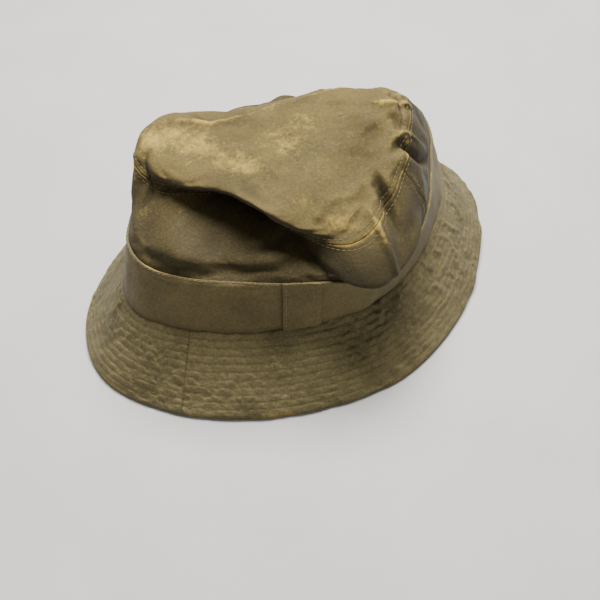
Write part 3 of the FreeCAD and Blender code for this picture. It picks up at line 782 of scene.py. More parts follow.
def ply(name, skin, angles, levels, outer, inner, grain=None, marks=None):
    """A ply of cloth as one closed mesh with rounded edges.

    angles and levels are grid lines as lines() gives them. A closed ring gives its angles without
    the last, and thick as None. outer and inner are the depths of its faces, each a length or a
    grid. marks holds grids of how worn the cloth is and of where light and shade are painted on it.
    """
    (angle, angle_thick), (level, level_thick) = angles, levels
    closed = angle_thick is None
    across = angle[None, :]
    down = level[:, None]
    thick = level_thick[:, None] * (np.ones((1, len(angle))) if closed else angle_thick[None, :])
    outer = outer + np.zeros(thick.shape)
    inner = inner + np.zeros(thick.shape)
    middle, half = (outer + inner) / 2, (inner - outer) / 2 * thick
    faces = [skin.place(across, down, middle - half), skin.place(across, down, middle + half)]
    if grain is None:
        run = run_along(skin.place(angle, level[len(level) // 2]))
        rise = run_along(skin.place(angle[len(angle) // 2], level))
        grain = np.stack(np.broadcast_arrays(run[None, :], rise[:, None]), -1)
    size = thick.size
    top = np.arange(size).reshape(thick.shape)
    bottom = top + size
    bottom[thick == 0] = top[thick == 0]
    if level[-1] == 2.0:                   # the tip comes together at its middle
        top[-1] = top[-1, 0]
        bottom[-1] = bottom[-1, 0]
    if closed:
        top, bottom = (np.concatenate([side, side[:, :1]], 1) for side in (top, bottom))
    above = np.stack([top[:-1, :-1], top[:-1, 1:], top[1:, 1:], top[1:, :-1]], -1)
    below = np.stack([bottom[:-1, :-1], bottom[1:, :-1], bottom[1:, 1:], bottom[:-1, 1:]], -1)
    quads = np.concatenate([above.reshape(-1, 4), below.reshape(-1, 4)])
    points = np.concatenate([side.reshape(-1, 3) for side in faces])
    both = {label: np.tile((np.zeros(thick.shape) + values).ravel(), 2)
            for label, values in (marks or {}).items()}
    return made(name, points, quads, np.tile(grain.reshape(-1, 2), (2, 1)), both)


def ring_angles(count):
    return np.arange(count) * 360.0 / count, None


def degrees_for(distance, angle):
    """The angle that a distance takes up along the head oval."""
    one = head_plan(np.array([angle + 0.5])) - head_plan(np.array([angle - 0.5]))
    return distance / float(np.linalg.norm(one))


def strip(join, count):
    """Angles of a strip that goes once round and stops just short of its own start."""
    gap = degrees_for(cloth().join_gap / 2, join)
    return lines(join + gap, join + 360.0 - gap, count, degrees_for(MM, join))


def span_angles(middle, width):
    half = degrees_for(width / 2, middle)
    return middle - half, middle + half


def finish_piece(piece, nodes, material):
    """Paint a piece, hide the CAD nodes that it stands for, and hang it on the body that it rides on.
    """
    piece.data.materials.append(material)
    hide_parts(*nodes)
    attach(piece, BODY)
    return piece


# ---------------------------------------------------------------- thread
BEAD_ALONG = np.array([-0.5, -0.36, 0.0, 0.36, 0.5])
BEAD_THICK = np.array([0.25, 0.8, 1.0, 0.8, 0.25])
BEAD_SIDES = 6


def stitched(name, rows):
    """Stitches along rows, as one mesh. A row is its holes, one after another, and their normals."""
    turn = np.arange(BEAD_SIDES) * 2 * math.pi / BEAD_SIDES
    points, quads = [], []
    index = np.arange(len(BEAD_ALONG) * BEAD_SIDES).reshape(-1, BEAD_SIDES)
    after = np.roll(index, -1, 1)
    tube = np.stack([index[:-1], index[1:], after[1:], after[:-1]], -1).reshape(-1, 4)
    base = 0
    for holes, normals in rows:
        start, end = holes[:-1], holes[1:]
        normal = normals[:-1] + normals[1:]
        normal /= np.linalg.norm(normal, axis=1)[:, None]
        along = (end - start) * 0.86
        middle = (start + end) / 2
        side = np.cross(normal, along)
        side /= np.linalg.norm(side, axis=1)[:, None]
        wide = sewing().thread / 2
        ring = (
            side[:, None, None] * np.cos(turn)[None, None, :, None]
            + normal[:, None, None] * np.sin(turn)[None, None, :, None] * 0.8
        ) * (BEAD_THICK * wide)[None, :, None, None]
        lift = normal[:, None, None] * (BEAD_THICK[None, :, None, None] - 0.6) * sewing().proud
        length_wise = along[:, None, None] * BEAD_ALONG[None, :, None, None]
        beads = middle[:, None, None] + length_wise + ring + lift
        points.append(beads.reshape(-1, 3))
        shifts = base + np.arange(len(beads)) * index.size
        quads.append((tube[None] + shifts[:, None, None]).reshape(-1, 4))
        # Each end is closed by two quads.
        for end_ring in (index[0], index[-1][::-1]):
            for cap in (end_ring[[0, 1, 2, 3]], end_ring[[3, 4, 5, 0]]):
                quads.append(cap[None] + shifts[:, None])
        base += len(beads) * index.size
    points = np.concatenate(points)
    return made(name, points, np.concatenate(quads), points[:, :2])


def row_round(skin, level, angles, depth, side=1.0):
    """A row of stitch holes round a skin at a level. side is -1 for thread on the cloth's inside."""
    fine = np.linspace(angles[0], angles[1], 1500)
    run = run_along(skin.place(fine, level))
    holes = np.interp(np.arange(0, run[-1], sewing().pitch), run, fine)
    levels = np.full(len(holes), level)
    normals = skin.read(skin.normals, holes, levels) * side
    return skin.place(holes, levels, depth(holes, levels) if callable(depth) else depth), normals


def row_up(skin, angle, levels, depth):
    """A row of stitch holes up a skin, at an angle, from one level to another."""
    fine = np.linspace(levels[0], levels[1], 400)
    run = run_along(skin.place(angle, fine, depth))
    holes = np.interp(np.arange(0, run[-1], sewing().pitch), run, fine)
    return skin.place(angle, holes, depth), skin.read(skin.normals, np.full(len(holes), angle), holes)


# ---------------------------------------------------------------- wear and painted shade
# Where the crown's wax has rubbed pale: radius in millimetres, strength, angle and level.
CROWN_SCUFFS = [
    (9, 0.75, 138, 1.22), (11, 0.6, 132, 1.36), (8, 0.5, 120, 1.50), (12, 0.75, 145, 1.58),
    (10, 0.55, 180, 1.66), (8, 0.5, 205, 1.62), (13, 0.55, 200, 1.94), (9, 0.5, 25, 1.90),
    (8, 0.35, 251, 1.44), (7, 0.45, 262, 1.24), (7, 0.45, 268, 1.10), (6, 0.25, 274, 0.94),
    (7, 0.45, 335, 1.34), (9, 0.45, 345, 1.10), (5, 0.6, 167, 0.85),
    (14, 0.35, 80, 1.40), (12, 0.35, 40, 1.30), (10, 0.3, 60, 0.78),
    (10, 0.3, 10, 0.80), (8, 0.3, 110, 0.82),
]


# Where shade is painted dark on the crown, in the same way: under the overhanging tip, on the wall
# slumped over the band and on the tip's front and right.
CROWN_PAINTED_SHADE = [
    (11, 0.4, 182, 1.10), (12, 0.45, 202, 1.14), (12, 0.45, 222, 1.14), (11, 0.4, 240, 1.14),
    (15, 1.0, 263, 0.91), (12, 0.6, 270, 0.84), (10, 0.4, 258, 0.80), (17, 0.5, 255, 1.52),
    (10, 0.25, 296, 1.30), (12, 0.25, 316, 1.50),
]


def relief(skin, times):
    """How far each point stands above its surroundings, in millimetres."""
    return ((skin.grid - blurred(skin.grid, times)) * skin.normals).sum(2) / MM


@functools.lru_cache(maxsize=2)
def crown_wear_and_shade_for(key):
    """How worn the crown is and where shade is painted on it, as two grids from 0 to 1."""
    skin = crown_for(key)
    rows = np.arange(len(skin.grid))[:, None]
    seam = np.exp(-(((rows - WALL_ROWS) * SEAM_ROW / (0.8 * MM)) ** 2))
    on_tip = np.clip((rows - 0.8 * WALL_ROWS) / (0.2 * WALL_ROWS), 0.3, 1)
    worn = 0.4 * np.clip(relief(skin, 10) / 0.7, 0, 1) * on_tip + 0.75 * seam
    ridges = [(1.6, -1.0, line) for width, deep, line in CROWN_FOLDS if deep < 0]
    worn += 0.45 * np.clip(-folded(skin, ridges) / MM, 0, 1) * on_tip**2
    for radius, strength, angle, level in CROWN_SCUFFS:
        away = np.linalg.norm(skin.grid - skin.place(angle, level), axis=2)
        worn += strength * np.exp(-((away / (radius * MM)) ** 2))
    # Painted shade where the cloth lies below its surroundings, in creases and hollows.
    hollow = np.clip(-relief(skin, 40) / 0.9, 0, 1)
    for radius, strength, angle, level in CROWN_PAINTED_SHADE:
        away = np.linalg.norm(skin.grid - skin.place(angle, level), axis=2)
        hollow += strength * np.exp(-((away / (radius * MM)) ** 2))
    return np.clip(worn, 0, 1), np.clip(hollow, 0, 1)


def crown_wear_and_shade(angles, levels):
    skin = crown()
    worn, hollow = crown_wear_and_shade_for(settings_now())
    across, down = angles[None, :], levels[:, None]
    # What faces up is painted lighter, which stands for light and for sun fading, and the wall less
    # than the tip.
    upward = np.clip((skin.read(skin.normals, across, down)[..., 2] - 0.45) / 0.5, 0, 1)
    return {
        "worn": skin.read(worn, across, down),
        "hollow": skin.read(hollow, across, down),
        "faded": eased(upward) * np.clip((down - 0.84) / 0.22, 0.25, 1),
    }


def brim_wear_and_shade(angles, levels):
    """The brim is worn along its edge, and has painted shade along its rows of stitching."""
    across, down = angles[None, :], levels[:, None]
    edge = np.exp(-(((1 - down) * sizes().brim_width / (1.6 * MM)) ** 2))
    patchy = 0.6 + 0.5 * wander(41, 3, 40, down, across / 360.0)
    rows = stitch_levels()[:, None, None]
    off_row = np.abs(down[None] - rows).min(0) * sizes().brim_width
    return {
        "worn": np.clip(0.6 * edge * patchy, 0, 1),
        # Painted shade along each row of stitching, where the quilted cloth dips.
        "hollow": 0.6 * np.exp(-((off_row / (0.7 * MM)) ** 2)) * (1 - edge),
        "faded": 0.85,
    }


# ---------------------------------------------------------------- finishes
def add(material, kind, inputs=None, output=0, **settings):
    """Add a node and give one of its outputs. inputs holds its sockets' values and links."""
    tree = material.node_tree
    node = tree.nodes.new(kind)
    for name, value in settings.items():
        setattr(node, name, value)
    for socket, value in (inputs or {}).items():
        if isinstance(value, bpy.types.NodeSocket):
            tree.links.new(value, node.inputs[socket])
        else:
            node.inputs[socket].default_value = value
    return node.outputs[output]


def blank(name):
    """A new material with its surface shader, in place of any made before under that name."""
    old = bpy.data.materials.get(name)
    if old:
        bpy.data.materials.remove(old)
    material = bpy.data.materials.new(name)
    material.use_nodes = True
    return material, material.node_tree.nodes["Principled BSDF"]


def rgba(value):
    return (*value, 1.0)


def laid_over(material, base, *layers):
    """Lay colours over a base colour.

    A layer is (pattern, low, high, most, tone). Its tone doesn't show where the pattern is at
    low, and covers as much as most where the pattern is at high.
    """
    for pattern, low, high, most, tone in layers:
        share = add(
            material, "ShaderNodeMapRange",
            {"Value": pattern, "From Min": low, "From Max": high, "To Max": most})
        base = add(
            material, "ShaderNodeMix", {0: share, 6: base, 7: rgba(tone)}, 2, data_type="RGBA")
    return base


def surfaced(material, shader, base, gloss, height, depth):
    """Give a shader its colour, its roughness and its relief.

    gloss is (pattern, low, high, roughness at low, roughness at high). height is a pattern, and
    depth is how far it stands up, in millimetres.
    """
    pattern, low, high, at_low, at_high = gloss
    roughness = add(
        material, "ShaderNodeMapRange",
        {"Value": pattern, "From Min": low, "From Max": high, "To Min": at_low, "To Max": at_high})
    normal = add(
        material, "ShaderNodeBump", {"Height": height, "Distance": depth * MM, "Strength": 1.0})
    links = material.node_tree.links
    links.new(base, shader.inputs["Base Color"])
    links.new(roughness, shader.inputs["Roughness"])
    links.new(normal, shader.inputs["Normal"])


def weave(material, grain, spacing):
    """The height of the threads of a plain weave, which wander over about 6 mm."""
    bends = add(
        material, "ShaderNodeTexNoise",
        {"Vector": grain, "Scale": 1.0 / (6.0 * MM), "Detail": 2.0, "Roughness": 0.55}, "Fac")
    # A wave texture's bands lie 0.314 / scale apart.
    across, along = (
        add(material, "ShaderNodeTexWave",
            {"Vector": grain, "Scale": 0.314 / (spacing * MM), "Distortion": 1.2, "Detail": 1.0,
             "Detail Scale": 0.8},
            "Fac", bands_direction=direction)
        for direction in ("X", "Y"))
    both = add(material, "ShaderNodeMath", {0: across, 1: along}, operation="MULTIPLY")
    return add(material, "ShaderNodeMath", {0: both, 1: bends}, operation="ADD")


def waxed_cotton(name, ground, shade_and_shelter, wear=1.0, mottle=1.0):
    """Waxed cotton canvas: plain-woven cotton soaked in wax, then worn in the rain and pocket.

    The wax darkens the cloth unevenly and gives it a dull, broken gloss. It cracks pale where the
    cloth folds and rubs away to straw on high places. Painted shade darkens its hollows, and it is
    painted lighter where it faces up and darker where it faces aside, partly as sun fading.
    """
    material, shader = blank(name)
    dark, straw = colours().wax_dark_and_shade, colours().wax_worn
    place = add(material, "ShaderNodeTexCoord", output="Object")
    # Wax lies in clouds 34 mm wide, cracks at 7 mm and flakes at 2.6 mm. Fibre shows at 1.5 mm.
    cloud, cracked, flaking, fibre = (
        add(material, "ShaderNodeTexNoise",
            {"Vector": place, "Scale": 1.0 / (size * MM), "Detail": detail,
             "Roughness": roughness, "Distortion": distortion},
            "Fac")
        for size, detail, roughness, distortion in (
            (34.0, 5.0, 0.6, 0.4), (7.0, 6.0, 0.68, 0.8), (2.6, 4.0, 0.7, 1.2), (1.5, 3.0, 0.7, 0.0)))
    worn, hollow, faded = (
        add(material, "ShaderNodeAttribute", output="Fac", attribute_name=mark)
        for mark in ("worn", "hollow", "faded"))
    # How much the wax has come off: it goes where the cloth is worn, cracked or flaking, and a little
    # more where it faces up, which is partly painted light.
    bare = worn
    for pattern, share in ((cracked, 2.0), (flaking, 1.2), (faded, 0.25)):
        bare = add(
            material, "ShaderNodeMath", {0: pattern, 1: share, 2: bare}, operation="MULTIPLY_ADD")

    # Painted light and shade: the ground colour where the cloth faces up, the darker tone where it
    # faces aside, standing also for sun fading.
    base = add(
        material, "ShaderNodeMix", {0: faded, 6: rgba(shade_and_shelter), 7: rgba(ground)}, 2,
        data_type="RGBA")
    # More pale specks where the cloth faces up, partly painted light.
    specks = add(
        material, "ShaderNodeMapRange",
        {"Value": faded, "From Min": 0.0, "From Max": 0.6, "To Min": 0.12, "To Max": 0.35})
    base = laid_over(
        material, base,
        (cloud, 0.44, 0.64, 0.42 * mottle, dark),
        (bare, 2.15, 2.85, 0.95 * wear, straw),
        (fibre, 0.60, 0.78, specks, straw))
    shade = add(
        material, "ShaderNodeMapRange",
        {"Value": fibre, "From Min": 0.30, "From Max": 0.60, "To Min": 0.72, "To Max": 1.08})
    grey = add(material, "ShaderNodeCombineColor", {0: shade, 1: shade, 2: shade})
    base = add(
        material, "ShaderNodeMix", {0: 1.0, 6: base, 7: grey}, 2,
        data_type="RGBA", blend_type="MULTIPLY")
    # Painted shade, in the colour of oily wax, where the marks say.
    base = laid_over(material, base, (hollow, 0.1, 1.0, 0.6, dark))

    # Real threads lie 0.5 mm apart. They are drawn at 0.9 mm, or they would not show.
    height = weave(material, add(material, "ShaderNodeUVMap", uv_map="Grain"), 0.9)
    threads = add(
        material, "ShaderNodeMapRange",
        {"Value": height, "From Min": 0.0, "From Max": 1.6, "To Min": 0.0, "To Max": 0.35})
    rise = add(material, "ShaderNodeMath", {0: threads, 1: fibre}, operation="ADD")
    rise = add(material, "ShaderNodeMath", {0: rise, 1: cracked}, operation="ADD")
    surfaced(material, shader, base, (bare, 1.6, 2.85, 0.60, 0.86), rise, 0.45)
    shader.inputs["IOR"].default_value = 1.45
    shader.inputs["Specular IOR Level"].default_value = 0.18
    shader.inputs["Sheen Weight"].default_value = 0.05
    shader.inputs["Sheen Roughness"].default_value = 0.5
    return material


def woven(name, ground, spacing, depth, roughness, sheen, mottle=0.18):
    """Unwaxed woven cloth: threads that cross, a dry surface, and a little unevenness of dye."""
    material, shader = blank(name)
    grain = add(material, "ShaderNodeUVMap", uv_map="Grain")
    place = add(material, "ShaderNodeTexCoord", output="Object")
    fibre = add(
        material, "ShaderNodeTexNoise",
        {"Vector": grain, "Scale": 1.0 / (1.3 * spacing * MM), "Detail": 3.0, "Roughness": 0.7},
        "Fac")
    dye = add(
        material, "ShaderNodeTexNoise",
        {"Vector": place, "Scale": 1.0 / (25.0 * MM), "Detail": 4.0, "Roughness": 0.55}, "Fac")
    dark = [channel * 0.62 for channel in ground]
    base = laid_over(
        material, rgba(ground), (dye, 0.35, 0.7, mottle, dark), (fibre, 0.65, 0.3, 0.55, dark))
    gloss = (fibre, 0.3, 0.7, roughness - 0.06, roughness + 0.06)
    surfaced(material, shader, base, gloss, weave(material, grain, spacing), depth)
    shader.inputs["Sheen Weight"].default_value = sheen
    return material


def sewing_thread():
    """Polyester-cored cotton thread: two plies twisted together, matt, paler where they shine."""
    material, shader = blank("cotton_sewing_thread")
    place = add(material, "ShaderNodeTexCoord", output="Object")
    fibre, age = (
        add(material, "ShaderNodeTexNoise",
            {"Vector": place, "Scale": 1.0 / (size * MM), "Detail": 3.0, "Roughness": 0.55}, "Fac")
        for size in (1.2, 14.0))
    tone = colours().thread
    dark = [channel * 0.45 for channel in tone]
    base = laid_over(
        material, rgba(tone), (age, 0.35, 0.65, 0.7, dark), (fibre, 0.6, 0.35, 0.5, dark))
    surfaced(material, shader, base, (fibre, 0.3, 0.7, 0.6, 0.78), fibre, 0.12)
    shader.inputs["Sheen Weight"].default_value = 0.2
    return material


# ---------------------------------------------------------------- operators
CROWN_PIECE_COLUMNS = 480
CROWN_PIECE_ROWS = 96
BAND_COLUMNS = 1000
BAND_ROWS = 46
BRIM_PIECE_COLUMNS = 720
BRIM_PIECE_ROWS = 88


def halves(seam):
    """The angles of the two halves of a piece that is cut at a seam and opposite it."""
    at = math.degrees(seam)
    return (at - 180.0, at), (at, at + 180.0)


SEAM_TURN = 0.5 * MM       # how soon a ply's edge is at its full thickness


def wall_lines(start, end, count):
    """Levels up the wall, with a rounded edge at each end."""
    return lines(start, end, count, SEAM_TURN / crown().span(180.0, 0.0, 1.0))


def tip_lines(count):
    """Levels from the tip's seam, where the cloth is turned under, to the middle."""
    turn = SEAM_TURN / crown().span(180.0, 1.0, 2.0)
    places = np.concatenate([1 + turn * ROUNDING, np.linspace(1 + turn, 2.0, count)])
    return places, np.concatenate([ROUNDED, np.ones(count)])


def flat_grain(angles, levels):
    """The cloth's own coordinates on a piece cut flat and round."""
    line = crown().place(angles[None, :], levels[:, None])
    return line[:, :, :2]


class HAT_OT_crown(bpy.types.Operator):
    """Sew the crown: its round tip and the two sides of its wall"""
    bl_idname = "hat.crown"
    bl_label = "Crown"

    def execute(self, context):
        canvas = waxed_cotton("waxed_cotton_canvas", colours().wax, colours().wax_shade_and_shelter)
        ply_depth = cloth().crown_ply
        angles = ring_angles(CROWN_COLUMNS)
        levels = tip_lines(108)
        tip = ply(
            "crown_tip_cloth", crown(), angles, levels, 0.0, ply_depth,
            flat_grain(angles[0], levels[0]), crown_wear_and_shade(angles[0], levels[0]))
        finish_piece(tip, ["crown_tip"], canvas)
        for side, (start, end) in zip(("front", "back"), halves(sizes().crown_seam)):
            angles = lines(start, end, CROWN_PIECE_COLUMNS, degrees_for(ply_depth, end))
            levels = wall_lines(0.0, 1.0, CROWN_PIECE_ROWS)
            piece = ply(
                f"crown_side_{side}_cloth", crown(), angles, levels, 0.0, ply_depth,
                marks=crown_wear_and_shade(angles[0], levels[0]))
            finish_piece(piece, [f"crown_side_{side}"], canvas)
        return {"FINISHED"}


BAND_TURN = 0.085          # levels that the band's turned edge takes up


def turned_edge(levels):
    """1 where the band's top edge is turned under, and 0 elsewhere, as the turn shows outside."""
    return eased(np.clip((levels - (BAND_TOP_LEVEL - BAND_TURN)) / (0.25 * BAND_TURN), 0, 1))


class HAT_OT_hatband(bpy.types.Operator):
    """Sew the hatband round the crown, and the keeper over its join"""
    bl_idname = "hat.hatband"
    bl_label = "Hatband"

    def execute(self, context):
        band_cloth = waxed_cotton(
            "waxed_cotton_band", colours().band, colours().band, wear=0.8, mottle=0.6)
        depth = cloth().crown_ply
        skin = crown()
        join = math.degrees(sizes().tab_middle)
        angles = strip(join, BAND_COLUMNS)
        levels = wall_lines(0.0, BAND_TOP_LEVEL, BAND_ROWS)
        across, down = angles[0][None, :], levels[0][:, None]
        tab_start = span_angles(join, sizes().tab_width)[0]
        turned = turned_edge(down)
        slack = np.maximum(0.3 * wander(51, 3, 70, down * 2, across / 360.0), -0.4) * (1 - turned)
        proud = depth + (0.35 * turned + slack) * MM
        rub = np.exp(-(((BAND_TOP_LEVEL - down) / 0.012) ** 2))
        marks = {
            "worn": rub * (0.45 + 0.3 * wander(52, 2, 60, down, across / 360.0)),
            # Painted shadow along the band's bottom edge, and beside one edge of the keeper.
            "hollow": np.maximum(
                0.8 * np.exp(-((down / 0.02) ** 2)),
                0.9 * np.exp(-(((across - tab_start - 360.0) / degrees_for(1.3 * MM, join)) ** 2))),
            "faded": 0.0,
        }
        band = ply("hatband_cloth", skin, angles, levels, -proud, 0.0, marks=marks)
        finish_piece(band, ["hatband"], band_cloth)

        low, high = span_angles(join, sizes().tab_width)
        angles = lines(low, high, 70, degrees_for(depth, join))
        levels = wall_lines(0.0, BAND_TOP_LEVEL, 80)
        off_edge = np.minimum(angles[0] - low, high - angles[0])[None, :] / degrees_for(MM, join)
        turned = np.maximum(
            turned_edge(levels[0][:, None]),
            np.clip((6.0 - off_edge) / 1.5, 0, 1))
        marks = {
            "worn": np.maximum(
                np.exp(-((off_edge / 0.8) ** 2)),
                np.exp(-(((BAND_TOP_LEVEL - levels[0][:, None]) / 0.012) ** 2))) * 0.5,
            "hollow": 0.0,
            "faded": 0.0,
        }
        tab = ply(
            "hatband_tab_cloth", skin, angles, levels, -(2.2 * depth + 0.3 * turned * MM), -depth,
            marks=marks)
        finish_piece(tab, ["hatband_tab"], band_cloth)
        return {"FINISHED"}


def edge_closing(level):
    """How far the brim's plies draw together towards its edge."""
    return 0.5 * MM * np.clip((level - 0.9) / 0.1, 0, 1) ** 2


class HAT_OT_brim(bpy.types.Operator):
    """Sew the brim: two plies of two halves each, stitched through to a stiffener"""
    bl_idname = "hat.brim"
    bl_label = "Brim"

    def execute(self, context):
        canvas = waxed_cotton(
            "waxed_cotton_brim", colours().wax_brim, colours().wax_shade_and_shelter, wear=0.75)
        skin = brim()
        ply_depth = cloth().brim_ply
        for side, (start, end) in zip(("right", "left"), halves(sizes().brim_seam)):
            angles = lines(start, end, BRIM_PIECE_COLUMNS, degrees_for(ply_depth, end) * 0.7)
            levels = lines(0.0, 1.0, BRIM_PIECE_ROWS, ply_depth * 0.6 / sizes().brim_width)
            across, down = angles[0][None, :], levels[0][:, None]
            marks = brim_wear_and_shade(angles[0], levels[0])
            puff = quilted(across, down)
            closing = edge_closing(down)
            upper = ply(
                f"brim_upper_{side}_cloth", skin, angles, levels, closing - puff,
                ply_depth + closing, marks=marks)
            finish_piece(upper, [f"brim_upper_{side}"], canvas)
            top = ply_depth + cloth().interlining
            lower = ply(
                f"brim_lower_{side}_cloth", skin, angles, levels, top - closing,
                brim_stack() - closing + 0.7 * puff, marks=marks)
            finish_piece(lower, [f"brim_lower_{side}"], canvas)
        return {"FINISHED"}


class HAT_OT_interlining(bpy.types.Operator):
    """Lay the stiffener inside the brim"""
    bl_idname = "hat.interlining"
    bl_label = "Interlining"

    def execute(self, context):
        # Stiffened cotton buckram: an open weave filled with size, pale and papery.
        buckram = woven("cotton_buckram", colours().interlining, 1.4, 0.35, 0.8, 0.0)
        setback = cloth().interlining_setback / sizes().brim_width
        angles = strip(math.degrees(sizes().brim_seam) + 90.0, 720)
        levels = lines(0.02, 1.0 - setback, 40, 0.01)
        top = cloth().brim_ply + 0.05 * MM
        bottom = cloth().brim_ply + cloth().interlining - 0.05 * MM
        piece = ply("brim_interlining_cloth", brim(), angles, levels, top, bottom)
        finish_piece(piece, ["brim_interlining"], buckram)
        return {"FINISHED"}


class HAT_OT_inside(bpy.types.Operator):
    """Sew the lining, the sweatband and the blank label inside the crown"""
    bl_idname = "hat.inside"
    bl_label = "Lining and sweatband"

    def execute(self, context):
        skin = crown()
        # Plain cotton lining: fine, smooth and dull.
        lining_cloth = woven("plain_cotton_lining", colours().lining, 0.9, 0.08, 0.78, 0.1)
        outer = cloth().crown_ply
        inner = outer + cloth().lining
        angles = ring_angles(360)
        levels = tip_lines(70)
        tip = ply(
            "lining_tip_cloth", skin, angles, levels, outer, inner,
            flat_grain(angles[0], levels[0]))
        finish_piece(tip, ["lining_tip"], lining_cloth)
        for side, (start, end) in zip(("front", "back"), halves(sizes().crown_seam)):
            angles = lines(start, end, 260, degrees_for(MM, end))
            piece = ply(
                f"lining_side_{side}_cloth", skin, angles, wall_lines(0.0, 1.0, 60), outer, inner)
            finish_piece(piece, [f"lining_side_{side}"], lining_cloth)

        # Cotton twill tape: close, slightly raised and worn smooth by the forehead.
        twill = woven("cotton_twill_tape", colours().sweatband, 1.2, 0.18, 0.7, 0.15)
        top = skin.level_at(sizes().sweatband_height)
        face = inner + cloth().sweatband
        band = ply(
            "sweatband_cloth", skin, strip(0.0, 700), wall_lines(0.0, top, 36), inner, face)
        finish_piece(band, ["sweatband"], twill)

        # Woven polyester satin: bright floats in one direction, sheen across them.
        satin = woven("polyester_satin", colours().label, 0.8, 0.05, 0.42, 0.3, 0.08)
        spare = (sizes().sweatband_height - sizes().label_height) / 2
        levels = wall_lines(
            skin.level_at(spare), skin.level_at(spare + sizes().label_height), 30)
        angles = lines(*span_angles(0.0, sizes().label_width), 36, degrees_for(0.3 * MM, 0.0))
        label = ply("size_label_cloth", skin, angles, levels, face, face + cloth().label)
        finish_piece(label, ["size_label"], satin)
        return {"FINISHED"}


class HAT_OT_stitching(bpy.types.Operator):
    """Sew every row of stitches: brim, hatband, keeper, crown seams and sweatband"""
    bl_idname = "hat.stitching"
    bl_label = "Stitching"

    def execute(self, context):
        thread = sewing_thread()
        skin = crown()
        depth = cloth().crown_ply
        rows = []
        angles = strip(math.degrees(sizes().brim_seam), 10)[0][[0, -1]]
        for level in stitch_levels():
            rows.append(row_round(brim(), level, angles, lambda a, v: -quilted(a, v)))
            rows.append(row_round(
                brim(), level, angles, lambda a, v: brim_stack() + 0.7 * quilted(a, v), -1.0))
        self.sew("brim_topstitching", rows, thread)

        tab = math.degrees(sizes().tab_middle)
        low, high = span_angles(tab, sizes().tab_width + cloth().join_gap)
        step = sewing().strip_margin / skin.span(180.0, 0.0, 1.0)
        top = BAND_TOP_LEVEL - step
        self.sew("hatband_stitching", [
            row_round(skin, top, (high, low + 360.0), -depth - 0.3 * MM)], thread)

        sides = span_angles(tab, sizes().tab_width - 2 * sewing().strip_margin)
        self.sew("tab_stitching", [
            row_up(skin, angle, (step, top), -2.2 * depth - 0.3 * MM) for angle in sides], thread)

        rows = []
        for seam in (math.degrees(sizes().crown_seam), math.degrees(sizes().crown_seam) - 180.0):
            for angle in span_angles(seam, 2 * sewing().seam_margin):
                rows.append(row_up(skin, angle, (BAND_TOP_LEVEL + step, 1 - 3 * step), 0.0))
        self.sew("crown_seam_stitching", rows, thread)

        below = 1 - sewing().seam_margin / skin.span(180.0, 0.0, 1.0)
        above = 1 + sewing().seam_margin / skin.span(180.0, 1.0, 2.0)
        angles = strip(math.degrees(sizes().crown_seam) + 90.0, 10)[0][[0, -1]]
        self.sew("tip_seam_stitching", [
            row_round(skin, level, angles, 0.0) for level in (below, above)], thread)

        face = depth + cloth().lining + cloth().sweatband
        level = skin.level_at(sizes().sweatband_height - sewing().strip_margin)
        angles = strip(180.0, 10)[0][[0, -1]]
        self.sew("sweatband_stitching", [row_round(skin, level, angles, face, -1.0)], thread)
        return {"FINISHED"}

    def sew(self, node, rows, thread):
        finish_piece(stitched(f"{node}_thread", rows), [node], thread)


CAMERA_AZIMUTH = -35.4
CAMERA_ELEVATION = 50.0
CAMERA_DISTANCE = 510.0 * MM
CAMERA_ANGLE = 42.0
AIM = (-12.87 * MM, -28.64 * MM, 3.4 * MM)     # before the hat is moved over the origin


# Lamps: name, size, azimuth, elevation and distance, in metres and degrees.
LAMPS = (("key", 0.75, 138.0, 71.0, 1.3), ("fill", 1.4, -25.0, 55.0, 1.6))
LAMP_AIM = (0, 0, 0.05)
FLOOR_REACH = 3.0


def toward(azimuth, elevation):
    """The direction from the hat to a camera or lamp."""
    turn, rise = math.radians(azimuth), math.radians(elevation)
    return np.array([
        math.sin(turn) * math.cos(rise), -math.cos(turn) * math.cos(rise), math.sin(rise)])


def aimed(thing, place, aim):
    """Put a camera or lamp at a place, facing an aim."""
    thing.location = place
    look = mathutils.Vector(np.array(aim) - np.array(place))
    thing.rotation_euler = look.to_track_quat("-Z", "Y").to_euler()
    bpy.context.scene.collection.objects.link(thing)
    return thing


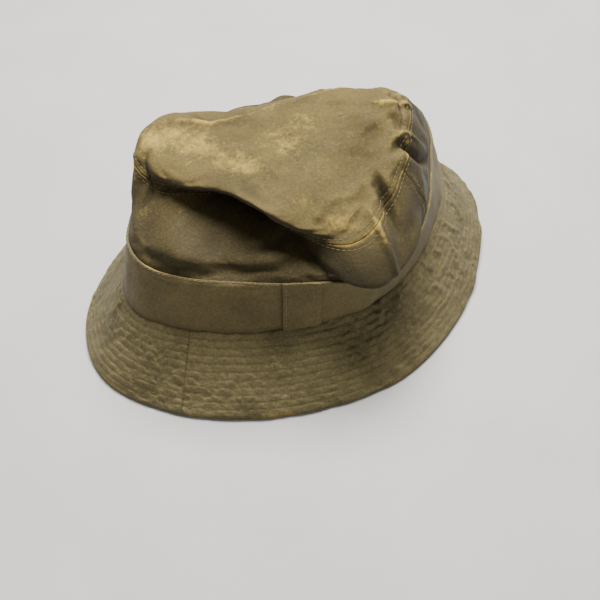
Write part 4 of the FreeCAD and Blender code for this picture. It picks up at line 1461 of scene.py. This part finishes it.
class HAT_OT_stage(bpy.types.Operator):
    """Set the floor, the lamps and the camera"""
    bl_idname = "hat.stage"
    bl_label = "Stage"

    def execute(self, context):
        stage = context.scene.hat_stage
        floor_mesh = bpy.data.meshes.new("floor")
        far = FLOOR_REACH
        floor_mesh.from_pydata(
            [(-far, -far, 0), (far, -far, 0), (far, far, 0), (-far, far, 0)], [], [(0, 1, 2, 3)])
        floor = bpy.data.objects.new("floor", floor_mesh)
        context.scene.collection.objects.link(floor)
        # Painted board: matt and even, with a faint cloudiness.
        paint, shader = blank("matt_painted_board")
        darker = [channel * 0.94 for channel in stage.floor]
        cloud = add(
            paint, "ShaderNodeTexNoise",
            {"Vector": add(paint, "ShaderNodeTexCoord", output="Object"),
             "Scale": 1.0 / (90.0 * MM), "Detail": 4.0, "Roughness": 0.55},
            "Fac")
        base = laid_over(paint, rgba(stage.floor), (cloud, 0.35, 0.65, 1.0, darker))
        paint.node_tree.links.new(base, shader.inputs["Base Color"])
        shader.inputs["Roughness"].default_value = 0.9
        floor.data.materials.append(paint)

        world = bpy.data.worlds.new("studio")
        world.use_nodes = True
        background = world.node_tree.nodes["Background"]
        background.inputs["Color"].default_value = rgba(stage.sky)
        background.inputs["Strength"].default_value = stage.sky_strength
        context.scene.world = world

        aim = np.array(AIM) - brim_middle()
        for name, size, azimuth, elevation, distance in LAMPS:
            lamp = bpy.data.lights.new(name, "AREA")
            lamp.energy = getattr(stage, f"{name}_power")
            lamp.size = size
            place = toward(azimuth, elevation) * distance
            aimed(bpy.data.objects.new(name, lamp), place, LAMP_AIM)

        lens = bpy.data.cameras.new("camera")
        lens.angle = math.radians(CAMERA_ANGLE)
        direction = toward(CAMERA_AZIMUTH, CAMERA_ELEVATION)
        context.scene.camera = aimed(
            bpy.data.objects.new("camera", lens), aim + direction * CAMERA_DISTANCE, aim)
        return {"FINISHED"}


class HAT_PT_panel(bpy.types.Panel):
    bl_idname = "HAT_PT_panel"
    bl_label = "Bucket hat"
    bl_space_type = "VIEW_3D"
    bl_region_type = "UI"
    bl_category = "Hat"

    def draw(self, context):
        for name, (heading, _) in SETTINGS.items():
            box = self.layout.box()
            box.label(text=heading)
            values = getattr(context.scene, name)
            for setting in values.__annotations__:
                box.prop(values, setting)
        for operator in OPERATORS:
            self.layout.operator(operator.bl_idname)


SETTINGS = {
    "hat_sizes": ("Sizes", HatSizes),
    "hat_cloth": ("Cloth", HatCloth),
    "hat_stitches": ("Stitches", HatStitches),
    "hat_colours": ("Colours", HatColours),
    "hat_stage": ("Stage", HatStage),
}
OPERATORS = (
    HAT_OT_stage, HAT_OT_crown, HAT_OT_hatband, HAT_OT_brim, HAT_OT_interlining,
    HAT_OT_inside, HAT_OT_stitching,
)
CLASSES = (*(group for _, group in SETTINGS.values()), *OPERATORS, HAT_PT_panel)


def register():
    for item in CLASSES:
        bpy.utils.register_class(item)
    for name, (_, group) in SETTINGS.items():
        setattr(bpy.types.Scene, name, bpy.props.PointerProperty(type=group))


def unregister():
    for name in SETTINGS:
        delattr(bpy.types.Scene, name)
    for item in reversed(CLASSES):
        bpy.utils.unregister_class(item)


def plain(box):
    """A box's two corners as plain lists."""
    return [[float(value) for value in corner] for corner in box]


def main():
    register()
    for operator in OPERATORS:
        group, name = operator.bl_idname.split(".")
        getattr(getattr(bpy.ops, group), name)()


if __name__ == "__main__":
    main()
